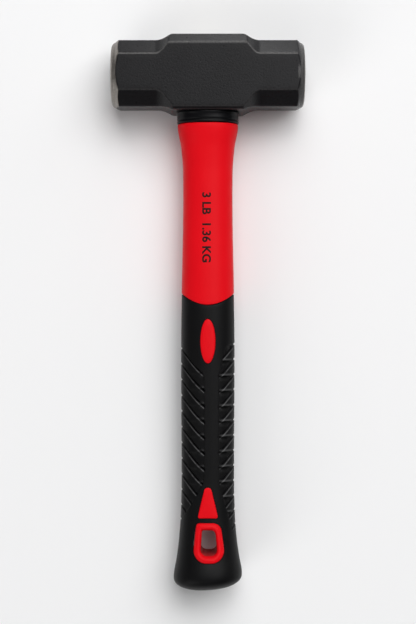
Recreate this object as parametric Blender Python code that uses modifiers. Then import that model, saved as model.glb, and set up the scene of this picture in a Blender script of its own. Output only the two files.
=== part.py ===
"""Club sledgehammer with a moulded fibreglass handle, lying on its side.

X is the striking axis, Y runs along the handle with the head at +Y, and +Z is up.
The origin is on the surface the hammer lies on, under the middle of its box.
Every piece is one closed solid, and touching pieces are GAP apart.
"""

import math
from typing import NamedTuple

import bmesh
import bpy
import numpy as np
from mathutils import Matrix, Vector
from mathutils.geometry import convex_hull_2d

MM = 0.001

# Overall sizes
TOTAL_LENGTH = 342.8 * MM  # head top to butt end
HEAD_LENGTH = 120.4 * MM  # striking face to striking face
HEAD_ACROSS_FLATS = 41.0 * MM  # also the thickness of the butt, so the hammer lies level
GAP = 0.3 * MM  # clearance between pieces that touch

# Head: an octagonal bar with a taller middle around the eye
HEAD_CORNER_LEG = 9.3 * MM  # leg of the 45 degree corner flats at the ends
MIDDLE_HALF_LENGTH = 22.3 * MM  # of the full height, along the striking axis
MIDDLE_TOP_RISE = 3.4 * MM  # above the end flats
MIDDLE_BOTTOM_RISE = 2.5 * MM
MIDDLE_TOP_LEG = 5.8 * MM  # corner flats of the middle, top and bottom
MIDDLE_BOTTOM_LEG = 2.0 * MM
STEP_ANGLE = math.radians(31.0)  # slope from the middle down to the end flats
STEP_RADIUS = 17.0 * MM
CORNER_STEP_START = 29.5 * MM  # where the corner flats begin to rise, from the middle
CORNER_STEP_ANGLE = math.radians(42.0)
CORNER_STEP_RADIUS = 9.5 * MM
FACE_RIM = (  # distance inside the end flats, and how far the face has dropped there; flat further in
    (11.5 * MM, 0.0),
    (5.5 * MM, 0.3 * MM),
    (3.0 * MM, 0.6 * MM),
    (1.5 * MM, 1.15 * MM),
    (0.6 * MM, 2.1 * MM),
    (0.0, 3.2 * MM),
    (-0.9 * MM, 3.9 * MM),
)
FACE_CONE_SLOPE = 0.54  # past the rim, out over the corner flats

# Fibreglass core and how it is potted in the eye
CORE_WIDTH = 21.0 * MM
CORE_THICKNESS = 16.8 * MM
CORE_RECESS = 1.0 * MM  # core end below the top of the head
EYE_WAIST_WALL = 2.6 * MM  # potting thickness at the eye's waist, top and bottom
EYE_TOP_WALL = 5.2 * MM
EYE_BOTTOM_WALL = 4.2 * MM
POTTING_RECESS = 1.8 * MM  # potting below the top of the head

# Neck collar
COLLAR_HEIGHT = 7.0 * MM
COLLAR_WALL = 8.6 * MM  # outside of the core
COLLAR_LIP = 0.4 * MM  # the top lip stands out this far
COLLAR_GROOVE = 0.5 * MM  # depth of the groove above the base bead
COLLAR_BEAD_HEIGHT = 1.3 * MM
COLLAR_EDGE = 0.5 * MM  # bevels of its edges

# Handle skin over the core: walls from the neck down to the butt
NECK_WALL = 8.3 * MM
NECK_EDGE_RADIUS = 0.8 * MM
NECK_SHOULDER_WALL = 5.95 * MM
NECK_SHOULDER_DROP = 15.0 * MM  # below the top of the jacket
NECK_TAPER_WALL = 4.85 * MM
NECK_TAPER_DROP = 30.0 * MM
WAIST_WALL = 4.75 * MM
WAIST_DROP = 46.0 * MM
SLEEVE_TOP_WALL = 5.7 * MM
PALM_WALL = 6.1 * MM
PALM_HEIGHT = 148.0 * MM  # above the butt end, as every height below
HEEL_WALL = 5.8 * MM
HEEL_HEIGHT = 68.0 * MM
FLARE_WALL = 6.3 * MM
FLARE_HEIGHT = 47.0 * MM
FLARE_LOW_WALL = 7.5 * MM
FLARE_LOW_HEIGHT = 31.0 * MM
BUTT_NECK_WALL = 8.8 * MM
BUTT_NECK_HEIGHT = 21.0 * MM
BUTT_WALL = 10.7 * MM
BUTT_HEIGHT = 8.8 * MM
BUTT_SLOPE = 0.055  # the end face rises this much for each unit to +X

# Grip sleeve
SLEEVE_SIDE_HEIGHT = 183.3 * MM  # top edge at the sides
SLEEVE_DIP = 6.7 * MM  # the top edge dips this far at the front and back
SLEEVE_WALL = 3.1 * MM
SLEEVE_FLOOR_HEIGHT = 44.4 * MM  # the solid part of the butt reaches this high
CORE_END_COVER = 3.0 * MM  # jacket material below the core

# Grip pattern: slanting grooves in two panels beside a smooth band
GROOVE_DEPTH = 0.8 * MM
GROOVE_WIDTH = 0.9 * MM
GROOVE_ANGLE = math.radians(51.0)
LEFT_GROOVES = 12
LEFT_PITCH = 9.65 * MM
LEFT_FIRST_HEIGHT = 150.1 * MM  # of the first groove, at the side of the grip
RIGHT_GROOVES = 13
RIGHT_PITCH = 9.33 * MM
RIGHT_FIRST_HEIGHT = 152.7 * MM
BAND_LEFT = -2.1 * MM  # edges of the smooth band
BAND_RIGHT = 6.9 * MM
PANEL_HIP_HEIGHT = 67.0 * MM  # below this the panels narrow towards the sides
PANEL_HIP_RADIUS = 25.0 * MM
LEFT_PANEL_CORNER = 10.0 * MM  # radius where the first groove meets the band
LEFT_PANEL_SLOPE = 1.6  # of the lower edge
RIGHT_PANEL_SLOPE = 3.5
RIGHT_SHOULDER_OUT = 3.5 * MM  # the right panel's upper corner: out from the band
RIGHT_SHOULDER_DROP = 5.5 * MM  # and below the first groove
RIGHT_SHOULDER_RADIUS = 4.0 * MM
RIGHT_NECK_DROP = 18.0 * MM  # below the first groove, where its edge reaches the band
RIGHT_NECK_RADIUS = 12.0 * MM

# Inlays and hang hole
INLAY_DEPTH = 1.5 * MM
INLAY_PROUD = 0.2 * MM
OVAL_WIDTH = 9.4 * MM
OVAL_LENGTH = 27.3 * MM
OVAL_HEIGHT = 154.2 * MM  # of its middle
ARROW_WIDTH = 12.2 * MM
ARROW_LENGTH = 18.9 * MM
ARROW_TIP_RADIUS = 2.4 * MM
ARROW_CORNER_RADIUS = 1.2 * MM
ARROW_BASE_HEIGHT = 45.4 * MM
LINER_WIDTH = 18.8 * MM
LINER_LENGTH = 24.4 * MM
LINER_HEIGHT = 30.4 * MM  # of its middle
LINER_SHIFT = 0.6 * MM  # to +X
LINER_RIM = 4.5 * MM
LINER_TAPER = 0.16  # of its half width, how much narrower it is at the top
LINER_OUTER_RADII = (2.2 * MM, 5.5 * MM, 7.8 * MM)  # top left, top right, both low corners
LINER_INNER_RADII = (1.0 * MM, 2.8 * MM, 3.6 * MM)
LINER_BEAD = 0.9 * MM  # the rim's crown stands this far above the grip
BEAD_PROFILE = (  # share of the way from the hole to the outside, share of the bead's height
    (0.0, -0.8),
    (0.12, 0.1),
    (0.35, 0.9),
    (0.6, 1.0),
    (0.85, 0.45),
    (1.0, -0.2),
)

# How finely round shapes are divided
SECTION_SIDES = 36
SECTION_POWER = 2.25  # 2 is an ellipse, more is fuller at the corners
CAP_POWER = 2.3
ROW_STEP = 11.0 * MM
CAP_ROWS = 6
FACE_SIDES = 48
ARC_STEP = math.radians(12.0)
LINER_SIDES = 40

# Places that follow from the sizes above
HALF_FLATS = HEAD_ACROSS_FLATS / 2
AXIS_Z = HALF_FLATS
HEAD_TOP_Y = TOTAL_LENGTH / 2
HEAD_Y = HEAD_TOP_Y - HALF_FLATS - MIDDLE_TOP_RISE
HEAD_BOTTOM_Y = HEAD_Y - HALF_FLATS - MIDDLE_BOTTOM_RISE
COLLAR_TOP_Y = HEAD_BOTTOM_Y - GAP
JACKET_TOP_Y = COLLAR_TOP_Y - COLLAR_HEIGHT - GAP
BUTT_Y = -TOTAL_LENGTH / 2
SLEEVE_FLOOR_Y = BUTT_Y + SLEEVE_FLOOR_HEIGHT
CORE_END_Y = SLEEVE_FLOOR_Y + GAP + CORE_END_COVER
FAR = 80.0 * MM  # reach of cutters past the head and the handle


class Section(NamedTuple):
    """Half sizes of an oval section across the handle at a place along it."""

    y: float
    half_width: float
    half_thickness: float


def clear_scene() -> None:
    for item in list(bpy.data.objects):
        bpy.data.objects.remove(item, do_unlink=True)


def add_collection(name: str) -> bpy.types.Collection:
    collection = bpy.data.collections.new(name)
    bpy.context.scene.collection.children.link(collection)
    return collection


def add_material(name: str, colour: tuple, roughness: float, metallic: float = 0.0):
    material = bpy.data.materials.new(name)
    material.use_nodes = True
    shader = material.node_tree.nodes["Principled BSDF"]
    shader.inputs["Base Color"].default_value = (*colour, 1.0)
    shader.inputs["Roughness"].default_value = roughness
    shader.inputs["Metallic"].default_value = metallic
    material.diffuse_color = (*colour, 1.0)
    return material


class Workshop:
    """Places pieces and cutters in their collections."""

    def __init__(self, name: str) -> None:
        self.pieces = add_collection(name)
        self.cutters = add_collection(name + "_cutters")

    def piece(self, item: bpy.types.Object, material) -> bpy.types.Object:
        self.pieces.objects.link(item)
        item.data.materials.clear()
        item.data.materials.append(material)
        item.data.shade_smooth()
        item.data.set_sharp_from_angle(angle=math.radians(30.0))
        return item

    def cutter(self, item: bpy.types.Object) -> bpy.types.Object:
        self.cutters.objects.link(item)
        item.hide_render = True
        item.display_type = "WIRE"
        return item


def boolean(target: bpy.types.Object, tool: bpy.types.Object, operation: str) -> None:
    modifier = target.modifiers.new(f"{operation.lower()} {tool.name}", "BOOLEAN")
    modifier.operation = operation
    modifier.solver = "EXACT"
    modifier.object = tool


def cut(target: bpy.types.Object, *tools: bpy.types.Object) -> None:
    for tool in tools:
        boolean(target, tool, "DIFFERENCE")


def keep_inside(target: bpy.types.Object, tool: bpy.types.Object) -> None:
    boolean(target, tool, "INTERSECT")


def new_object(name: str, work: bmesh.types.BMesh) -> bpy.types.Object:
    bmesh.ops.recalc_face_normals(work, faces=work.faces)
    mesh = bpy.data.meshes.new(name)
    work.to_mesh(mesh)
    work.free()
    return bpy.data.objects.new(name, mesh)


# Outlines


def rounded(corners: list, closed: bool = True) -> list:
    """Corners (x, y, radius) joined by straight lines, each corner an arc of its radius."""
    points = []
    count = len(corners)
    for index, (x, y, radius) in enumerate(corners):
        corner = Vector((x, y))
        if radius <= 0 or (not closed and index in (0, count - 1)):
            points.append(corner)
            continue
        before = Vector(corners[index - 1][:2])
        after = Vector(corners[(index + 1) % count][:2])
        back = (before - corner).normalized()
        onward = (after - corner).normalized()
        half = back.angle(onward) / 2
        centre = corner + (back + onward).normalized() * (radius / math.sin(half))
        start = corner + back * (radius / math.tan(half)) - centre
        turn = start.angle_signed(corner + onward * (radius / math.tan(half)) - centre)
        steps = max(2, round(abs(turn) / ARC_STEP))
        for step in range(steps + 1):
            swing = Matrix.Rotation(-turn * step / steps, 2)
            points.append(centre + swing @ start)
    return points


def ellipse(half_width: float, half_length: float, count: int = 36) -> list:
    turns = [2 * math.pi * index / count for index in range(count)]
    return [Vector((half_width * math.cos(t), half_length * math.sin(t))) for t in turns]


def grown(points: list, distance: float) -> list:
    """A counterclockwise outline moved outwards by a distance."""
    result = []
    for index, point in enumerate(points):
        before = (point - points[index - 1]).normalized()
        after = (points[(index + 1) % len(points)] - point).normalized()
        along = (before + after).normalized()
        stretch = 1 / max(0.5, math.cos(before.angle(after) / 2))
        result.append(point + Vector((along.y, -along.x)) * distance * stretch)
    return result


def shifted(points: list, x: float, y: float) -> list:
    return [point + Vector((x, y)) for point in points]


def extruded(name: str, points: list, half_depth: float, place: Matrix) -> bpy.types.Object:
    """A flat outline given a thickness, as a welded mesh in its place."""
    curve = bpy.data.curves.new(name + "_outline", "CURVE")
    curve.dimensions = "2D"
    curve.fill_mode = "BOTH"
    curve.extrude = half_depth
    spline = curve.splines.new("POLY")
    spline.points.add(len(points) - 1)
    for target, point in zip(spline.points, points):
        target.co = (point.x, point.y, 0.0, 1.0)
    spline.use_cyclic_u = True
    holder = bpy.data.objects.new(name + "_outline", curve)
    bpy.context.scene.collection.objects.link(holder)
    evaluated = holder.evaluated_get(bpy.context.evaluated_depsgraph_get())
    mesh = bpy.data.meshes.new_from_object(evaluated)
    work = bmesh.new()
    work.from_mesh(mesh)
    bmesh.ops.remove_doubles(work, verts=work.verts, dist=1e-6)
    bmesh.ops.dissolve_limit(
        work, angle_limit=1e-4, verts=work.verts, edges=work.edges
    )
    result = new_object(name, work)
    result.matrix_world = place
    bpy.data.objects.remove(holder)
    bpy.data.meshes.remove(mesh)
    return result


def in_plan(z: float = AXIS_Z) -> Matrix:
    return Matrix.Translation((0.0, 0.0, z))


# The handle's outer surface


def smooth_curve(places: list, values: list):
    """A monotone cubic through the values, as a function of the place."""
    order = np.argsort(places)
    xs = np.array(places)[order]
    ys = np.array(values)[order]
    steps = np.diff(xs)
    rises = np.diff(ys) / steps
    slopes = np.zeros_like(ys)
    for index in range(1, len(xs) - 1):
        if rises[index - 1] * rises[index] > 0:
            weight = (2 * steps[index] + steps[index - 1]) / (3 * (steps[index] + steps[index - 1]))
            slopes[index] = 1 / (weight / rises[index - 1] + (1 - weight) / rises[index])

    def read(place: float) -> float:
        place = min(max(place, xs[0]), xs[-1])
        index = min(int(np.searchsorted(xs, place, side="right")) - 1, len(steps) - 1)
        step = steps[index]
        t = (place - xs[index]) / step
        return float(
            (2 * t**3 - 3 * t**2 + 1) * ys[index]
            + (t**3 - 2 * t**2 + t) * step * slopes[index]
            + (3 * t**2 - 2 * t**3) * ys[index + 1]
            + (t**3 - t**2) * step * slopes[index + 1]
        )

    return read


SKIN_PLACES = [
    JACKET_TOP_Y,
    JACKET_TOP_Y - NECK_SHOULDER_DROP,
    JACKET_TOP_Y - NECK_TAPER_DROP,
    JACKET_TOP_Y - WAIST_DROP,
    BUTT_Y + SLEEVE_SIDE_HEIGHT,
    BUTT_Y + PALM_HEIGHT,
    BUTT_Y + HEEL_HEIGHT,
    BUTT_Y + FLARE_HEIGHT,
    BUTT_Y + FLARE_LOW_HEIGHT,
    BUTT_Y + BUTT_NECK_HEIGHT,
    BUTT_Y + BUTT_HEIGHT,
]
SKIN_WALLS = [
    NECK_WALL,
    NECK_SHOULDER_WALL,
    NECK_TAPER_WALL,
    WAIST_WALL,
    SLEEVE_TOP_WALL,
    PALM_WALL,
    HEEL_WALL,
    FLARE_WALL,
    FLARE_LOW_WALL,
    BUTT_NECK_WALL,
    BUTT_WALL,
]
skin_wall = smooth_curve(SKIN_PLACES, SKIN_WALLS)
# The butt flares more through its thickness, so that it reaches the surface the head lies on.
BUTT_WALL_THROUGH = HALF_FLATS - CORE_THICKNESS / 2
FLARE_RATIO = (BUTT_WALL_THROUGH - FLARE_WALL) / (BUTT_WALL - FLARE_WALL)


def handle_section(y: float, grow: float = 0.0) -> Section:
    """The handle's outer section at y, grown by a distance all round."""
    wall = skin_wall(y)
    through = wall
    if y < BUTT_Y + FLARE_HEIGHT:
        through = FLARE_WALL + (wall - FLARE_WALL) * FLARE_RATIO
    return Section(y, CORE_WIDTH / 2 + wall + grow, CORE_THICKNESS / 2 + through + grow)


def jacket_inner_section(y: float, grow: float = 0.0) -> Section:
    """The jacket's section under the grip sleeve."""
    return handle_section(y, grow - SLEEVE_WALL)


def core_section(y: float, grow: float = 0.0) -> Section:
    return Section(y, CORE_WIDTH / 2 + grow, CORE_THICKNESS / 2 + grow)


def signed_power(value: float, power: float) -> float:
    return math.copysign(abs(value) ** power, value)


def surface_height(x: float, y: float) -> float:
    """How far the handle's surface is from its middle plane, at (x, y)."""
    section = handle_section(y)
    share = min(abs(x) / section.half_width, 1.0)
    return section.half_thickness * (1 - share**SECTION_POWER) ** (1 / SECTION_POWER)


def rows(top: float, bottom: float, step: float = ROW_STEP) -> list:
    count = max(1, math.ceil((top - bottom) / step))
    return [top + (bottom - top) * index / count for index in range(count + 1)]


def butt_lean(y: float) -> float:
    """How much a section leans with the sloping end face: none above the flare, all of it at the butt."""
    share = (BUTT_Y + FLARE_HEIGHT - y) / (FLARE_HEIGHT - BUTT_HEIGHT)
    share = min(max(share, 0.0), 1.0)
    return BUTT_SLOPE * share * share * (3 - 2 * share)


def lofted(name: str, sections: list) -> bpy.types.Object:
    """A closed skin over oval sections, from the top one to the bottom one."""
    work = bmesh.new()
    rings = []
    for section in sections:
        ring = []
        for index in range(SECTION_SIDES):
            turn = 2 * math.pi * index / SECTION_SIDES
            x = section.half_width * signed_power(math.cos(turn), 2 / SECTION_POWER)
            z = section.half_thickness * signed_power(math.sin(turn), 2 / SECTION_POWER)
            y = section.y + butt_lean(section.y) * x
            ring.append(work.verts.new((x, y, AXIS_Z + z)))
        rings.append(ring)
    for upper, lower in zip(rings, rings[1:]):
        for index in range(SECTION_SIDES):
            onward = (index + 1) % SECTION_SIDES
            work.faces.new((upper[index], upper[onward], lower[onward], lower[index]))
    work.faces.new(rings[0])
    work.faces.new(list(reversed(rings[-1])))
    return new_object(name, work)


def skin_rows(top: float, bottom: float, grow: float = 0.0) -> list:
    return [handle_section(y, grow) for y in rows(top, bottom)]


def butt_cap() -> list:
    """Sections that close the butt with a shallow dome and a rounded edge."""
    widest = handle_section(BUTT_Y + BUTT_HEIGHT)
    sections = []
    for index in range(1, CAP_ROWS + 1):
        turn = math.pi / 2 * index / (CAP_ROWS + 0.5)
        share = math.cos(turn) ** (2 / CAP_POWER)
        drop = BUTT_HEIGHT * math.sin(turn) ** (2 / CAP_POWER)
        sections.append(
            Section(widest.y - drop, widest.half_width * share, widest.half_thickness * share)
        )
    return sections


def sleeve_edge(drop: float) -> list:
    """Outline of everything below the sleeve's curved top edge, lowered by a distance."""
    edge = BUTT_Y + SLEEVE_SIDE_HEIGHT - drop
    half_width = handle_section(edge).half_width
    across = [half_width * index / 8 for index in range(-12, 13)]
    bend = [Vector((x, edge - SLEEVE_DIP * (1 - (x / half_width) ** 2))) for x in across]
    low = BUTT_Y - FAR
    return [Vector((bend[0].x, low)), Vector((bend[-1].x, low)), *reversed(bend)]


# Head


def head_silhouette() -> list:
    """The head seen along +Z: a bar with a taller middle, with sloping steps between them."""
    end = HEAD_LENGTH / 2 + GAP
    top = HALF_FLATS + MIDDLE_TOP_RISE
    bottom = HALF_FLATS + MIDDLE_BOTTOM_RISE
    top_foot = MIDDLE_HALF_LENGTH + MIDDLE_TOP_RISE / math.tan(STEP_ANGLE)
    bottom_foot = MIDDLE_HALF_LENGTH + MIDDLE_BOTTOM_RISE / math.tan(STEP_ANGLE)
    right = [
        (bottom_foot, -HALF_FLATS, STEP_RADIUS),
        (end, -HALF_FLATS, 0.0),
        (end, HALF_FLATS, 0.0),
        (top_foot, HALF_FLATS, STEP_RADIUS),
        (MIDDLE_HALF_LENGTH, top, 0.0),
    ]
    left = [(-x, y, radius) for x, y, radius in reversed(right)]
    corners = [(MIDDLE_HALF_LENGTH, -bottom, 0.0), *right, *left, (-MIDDLE_HALF_LENGTH, -bottom, 0.0)]
    return rounded(corners)


def corner_profile(middle_rise: float, middle_leg: float) -> list:
    """What a corner cutter removes, by place along the head and distance from its axis."""
    end_level = (2 * HALF_FLATS - HEAD_CORNER_LEG) / math.sqrt(2)
    middle_level = (2 * HALF_FLATS + middle_rise - middle_leg) / math.sqrt(2)
    run = (middle_level - end_level) / math.tan(CORNER_STEP_ANGLE)
    start = CORNER_STEP_START - run
    corners = [
        (-FAR, FAR, 0.0),
        (-FAR, end_level, 0.0),
        (-CORNER_STEP_START, end_level, CORNER_STEP_RADIUS),
        (-start, middle_level, 0.0),
        (start, middle_level, 0.0),
        (CORNER_STEP_START, end_level, CORNER_STEP_RADIUS),
        (FAR, end_level, 0.0),
        (FAR, FAR, 0.0),
    ]
    return rounded(corners)


def corner_cutter(shop: Workshop, name: str, up: int, out: int) -> bpy.types.Object:
    if up > 0:
        points = corner_profile(MIDDLE_TOP_RISE, MIDDLE_TOP_LEG)
    else:
        points = corner_profile(MIDDLE_BOTTOM_RISE, MIDDLE_BOTTOM_LEG)
    outward = Vector((0.0, up, out)).normalized()
    along = Vector((1.0, 0.0, 0.0))
    basis = Matrix((along, outward, along.cross(outward))).transposed().to_4x4()
    place = Matrix.Translation((0.0, HEAD_Y, AXIS_Z)) @ basis
    return shop.cutter(extruded(name, points, FAR, place))


def turned(name: str, profile: list, sides: int) -> bpy.types.Object:
    """A profile of (radius, height) turned about its axis with a Screw."""
    mesh = bpy.data.meshes.new(name)
    verts = [(radius, 0.0, height) for radius, height in profile]
    mesh.from_pydata(verts, [(i, i + 1) for i in range(len(verts) - 1)], [])
    result = bpy.data.objects.new(name, mesh)
    screw = result.modifiers.new("turn", "SCREW")
    screw.axis = "Z"
    screw.steps = sides
    screw.render_steps = sides
    screw.use_merge_vertices = True
    screw.merge_threshold = 1e-5
    return result


def face_envelope(shop: Workshop) -> bpy.types.Object:
    """A turned barrel whose two ends are the crowned striking faces."""
    end = HEAD_LENGTH / 2
    crown = [(0.0, end)] + [(HALF_FLATS - inset, end - drop) for inset, drop in FACE_RIM]
    radius, height = crown[-1]
    outside = 2 * HALF_FLATS
    crown.append((outside, height - (outside - radius) * FACE_CONE_SLOPE))
    profile = crown + [(radius, -height) for radius, height in reversed(crown)]
    barrel = turned("face_envelope", profile, FACE_SIDES)
    barrel.matrix_world = Matrix.Translation((0.0, HEAD_Y, AXIS_Z)) @ Matrix.Rotation(math.pi / 2, 4, "Y")
    return shop.cutter(barrel)


def eye_sections(grow: float, top: float, bottom: float) -> list:
    """The hourglass eye: widest at the top, narrowest at the middle of the head."""
    waist_wall = smooth_curve(
        [HEAD_BOTTOM_Y, HEAD_Y, HEAD_TOP_Y], [EYE_BOTTOM_WALL, EYE_WAIST_WALL, EYE_TOP_WALL]
    )
    inside = [y for y in rows(HEAD_TOP_Y, HEAD_BOTTOM_Y, ROW_STEP / 2) if bottom < y < top]
    return [core_section(y, waist_wall(y) + grow) for y in (top, *inside, bottom)]


def make_head(shop: Workshop, material) -> None:
    head = extruded("hammer_head", head_silhouette(), HALF_FLATS, Matrix.Translation((0.0, HEAD_Y, AXIS_Z)))
    shop.piece(head, material)
    eye = lofted("eye_cutter", eye_sections(0.0, HEAD_TOP_Y + FAR, HEAD_BOTTOM_Y - FAR))
    for name, up, out in (
        ("corner_top_front", 1, 1),
        ("corner_top_back", 1, -1),
        ("corner_bottom_front", -1, 1),
        ("corner_bottom_back", -1, -1),
    ):
        cut(head, corner_cutter(shop, name, up, out))
    keep_inside(head, face_envelope(shop))
    cut(head, shop.cutter(eye))


# Core, potting and collar


def core_tunnel(shop: Workshop, name: str, top: float, bottom: float) -> bpy.types.Object:
    """The room for the core, with its clearance."""
    return shop.cutter(lofted(name, [core_section(top, GAP), core_section(bottom, GAP)]))


def make_core(shop: Workshop, material) -> None:
    ends = [core_section(HEAD_TOP_Y - CORE_RECESS), core_section(CORE_END_Y + GAP)]
    shop.piece(lofted("fibreglass_core", ends), material)


def make_potting(shop: Workshop, material) -> None:
    sections = eye_sections(-GAP, HEAD_TOP_Y - POTTING_RECESS, HEAD_BOTTOM_Y + GAP)
    potting = shop.piece(lofted("eye_epoxy", sections), material)
    cut(potting, core_tunnel(shop, "potting_tunnel", HEAD_TOP_Y + FAR, HEAD_BOTTOM_Y - FAR))


def make_collar(shop: Workshop, material) -> None:
    base = COLLAR_TOP_Y - COLLAR_HEIGHT
    steps = [
        (COLLAR_TOP_Y, COLLAR_LIP - COLLAR_EDGE),
        (COLLAR_TOP_Y - COLLAR_EDGE, COLLAR_LIP),
        (COLLAR_TOP_Y - 3 * COLLAR_EDGE, 0.0),
        (base + COLLAR_BEAD_HEIGHT + 2 * COLLAR_EDGE, 0.0),
        (base + COLLAR_BEAD_HEIGHT + COLLAR_EDGE, -COLLAR_GROOVE),
        (base + COLLAR_BEAD_HEIGHT, 0.0),
        (base + COLLAR_EDGE, 0.0),
        (base, -COLLAR_EDGE),
    ]
    sections = [core_section(y, COLLAR_WALL + out) for y, out in steps]
    collar = shop.piece(lofted("neck_collar", sections), material)
    cut(collar, core_tunnel(shop, "collar_tunnel", COLLAR_TOP_Y + FAR, base - FAR))


# Jacket and grip sleeve


def jacket_inner_rows(grow: float = 0.0) -> list:
    """The jacket's body under the sleeve, grown by a distance, from above its edge to the sleeve's floor."""
    top = BUTT_Y + SLEEVE_SIDE_HEIGHT + FAR / 2
    return [jacket_inner_section(y, grow) for y in rows(top, SLEEVE_FLOOR_Y, 2 * ROW_STEP)]


def make_jacket(shop: Workshop, material) -> None:
    top = handle_section(JACKET_TOP_Y)
    edge = NECK_EDGE_RADIUS
    brow = Section(top.y, top.half_width - edge, top.half_thickness - edge)
    below_brow = JACKET_TOP_Y - edge
    outer = [brow, *skin_rows(below_brow, SLEEVE_FLOOR_Y + GAP)]
    jacket = shop.piece(lofted("shaft_jacket", outer), material)
    room = shop.cutter(extruded("sleeve_room", sleeve_edge(0.0), FAR, in_plan()))
    inside = jacket_inner_rows()
    past_end = inside[-1]._replace(y=SLEEVE_FLOOR_Y - FAR)
    kept = lofted("jacket_under_sleeve", [*inside, past_end])
    cut(room, shop.cutter(kept))
    cut(jacket, room)
    cut(jacket, core_tunnel(shop, "jacket_tunnel", JACKET_TOP_Y + FAR, CORE_END_Y))


def oval_outline() -> list:
    points = ellipse(OVAL_WIDTH / 2, OVAL_LENGTH / 2)
    return shifted(points, 0.0, BUTT_Y + OVAL_HEIGHT)


def around_circles(circles: list) -> list:
    """The outline of a band stretched round circles (x, y, radius), counterclockwise."""
    steps = round(2 * math.pi / ARC_STEP)
    turns = [2 * math.pi * index / steps for index in range(steps)]
    points = [
        Vector((x + radius * math.cos(turn), y + radius * math.sin(turn)))
        for x, y, radius in circles
        for turn in turns
    ]
    return [points[index] for index in convex_hull_2d(points)]


def arrow_outline() -> list:
    """A triangle that points to the head, with round corners."""
    corner = ARROW_WIDTH / 2 - ARROW_CORNER_RADIUS
    circles = [
        (-corner, ARROW_CORNER_RADIUS, ARROW_CORNER_RADIUS),
        (corner, ARROW_CORNER_RADIUS, ARROW_CORNER_RADIUS),
        (0.0, ARROW_LENGTH - ARROW_TIP_RADIUS, ARROW_TIP_RADIUS),
    ]
    return shifted(around_circles(circles), 0.0, BUTT_Y + ARROW_BASE_HEIGHT)


def liner_outline(inset: float, radii: tuple) -> list:
    """The hang hole's D shape, from its corner radii: straight on top, round below, wider to +X."""
    top_left, top_right, low = radii
    half_width = LINER_WIDTH / 2 - inset
    half_length = LINER_LENGTH / 2 - inset
    taper = LINER_TAPER * half_width
    circles = [
        (-half_width + taper + top_left, half_length - top_left, top_left),
        (half_width - taper - top_right, half_length - top_right, top_right),
        (half_width - low, -half_length + low, low),
        (-half_width + low, -half_length + low, low),
    ]
    return shifted(around_circles(circles), LINER_SHIFT, BUTT_Y + LINER_HEIGHT)


def liner_outer() -> list:
    return liner_outline(0.0, LINER_OUTER_RADII)


def liner_inner() -> list:
    return liner_outline(LINER_RIM, LINER_INNER_RADII)


def panel_outlines() -> dict:
    """The two grooved panels beside the smooth band, wider than the grip on their outer sides."""
    side = FAR / 3
    slope = math.tan(GROOVE_ANGLE)
    left_top = BUTT_Y + LEFT_FIRST_HEIGHT
    right_top = BUTT_Y + RIGHT_FIRST_HEIGHT
    grip = handle_section(BUTT_Y + PALM_HEIGHT).half_width
    low = BUTT_Y + PANEL_HIP_HEIGHT
    left = [
        (-side, left_top + (side - grip) * slope, 0.0),
        (-side, low - (side + BAND_LEFT) * LEFT_PANEL_SLOPE, 0.0),
        (BAND_LEFT, low, PANEL_HIP_RADIUS),
        (BAND_LEFT, left_top - (grip + BAND_LEFT) * slope, LEFT_PANEL_CORNER),
    ]
    right = [
        (side, right_top + (side - grip) * slope, 0.0),
        (BAND_RIGHT + RIGHT_SHOULDER_OUT, right_top - RIGHT_SHOULDER_DROP, RIGHT_SHOULDER_RADIUS),
        (BAND_RIGHT, right_top - RIGHT_NECK_DROP, RIGHT_NECK_RADIUS),
        (BAND_RIGHT, low, PANEL_HIP_RADIUS),
        (side, low - (side - BAND_RIGHT) * RIGHT_PANEL_SLOPE, 0.0),
    ]
    return {"left": rounded(left), "right": rounded(right)}


def groove_slabs(name: str, first_y: float, count: int, pitch: float, side: int) -> bpy.types.Object:
    """Slanting slabs, one for each groove, that run down from the side of the grip to the band."""
    work = bmesh.new()
    grip = handle_section(BUTT_Y + PALM_HEIGHT).half_width
    length = 3 * grip
    for index in range(count):
        turn = Matrix.Rotation(side * GROOVE_ANGLE, 4, "Z")
        place = Matrix.Translation((side * grip, first_y - pitch * index, AXIS_Z))
        size = Matrix.Diagonal((length, GROOVE_WIDTH, FAR, 1.0))
        bmesh.ops.create_cube(work, size=1.0, matrix=place @ turn @ size)
    return new_object(name, work)


def cut_grooves(shop: Workshop, sleeve: bpy.types.Object) -> None:
    """Cuts each panel's grooves to an even depth below the grip's surface."""
    floor = lofted(
        "groove_floor",
        skin_rows(BUTT_Y + SLEEVE_SIDE_HEIGHT, BUTT_Y + BUTT_NECK_HEIGHT, -GROOVE_DEPTH),
    )
    shop.cutter(floor)
    panels = panel_outlines()
    plans = {
        "left": (BUTT_Y + LEFT_FIRST_HEIGHT, LEFT_GROOVES, LEFT_PITCH, -1),
        "right": (BUTT_Y + RIGHT_FIRST_HEIGHT, RIGHT_GROOVES, RIGHT_PITCH, 1),
    }
    for side, plan in plans.items():
        panel = shop.cutter(extruded(f"{side}_panel", panels[side], FAR / 2, in_plan()))
        slabs = shop.cutter(groove_slabs(f"{side}_grooves", *plan))
        keep_inside(slabs, panel)
        cut(slabs, floor)
        cut(sleeve, slabs)


def make_sleeve(shop: Workshop, material) -> bpy.types.Object:
    top = BUTT_Y + SLEEVE_SIDE_HEIGHT + ROW_STEP
    sections = [*skin_rows(top, BUTT_Y + BUTT_HEIGHT), *butt_cap()]
    sleeve = shop.piece(lofted("grip_sleeve", sections), material)
    keep = extruded("sleeve_limit", sleeve_edge(GAP), FAR, in_plan())
    keep_inside(sleeve, shop.cutter(keep))
    cavity = lofted("sleeve_cavity", jacket_inner_rows(GAP))
    cut(sleeve, shop.cutter(cavity))
    hole = extruded("liner_hole", grown(liner_outer(), GAP), FAR, in_plan())
    cut(sleeve, shop.cutter(hole))
    cut_grooves(shop, sleeve)
    return sleeve


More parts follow.
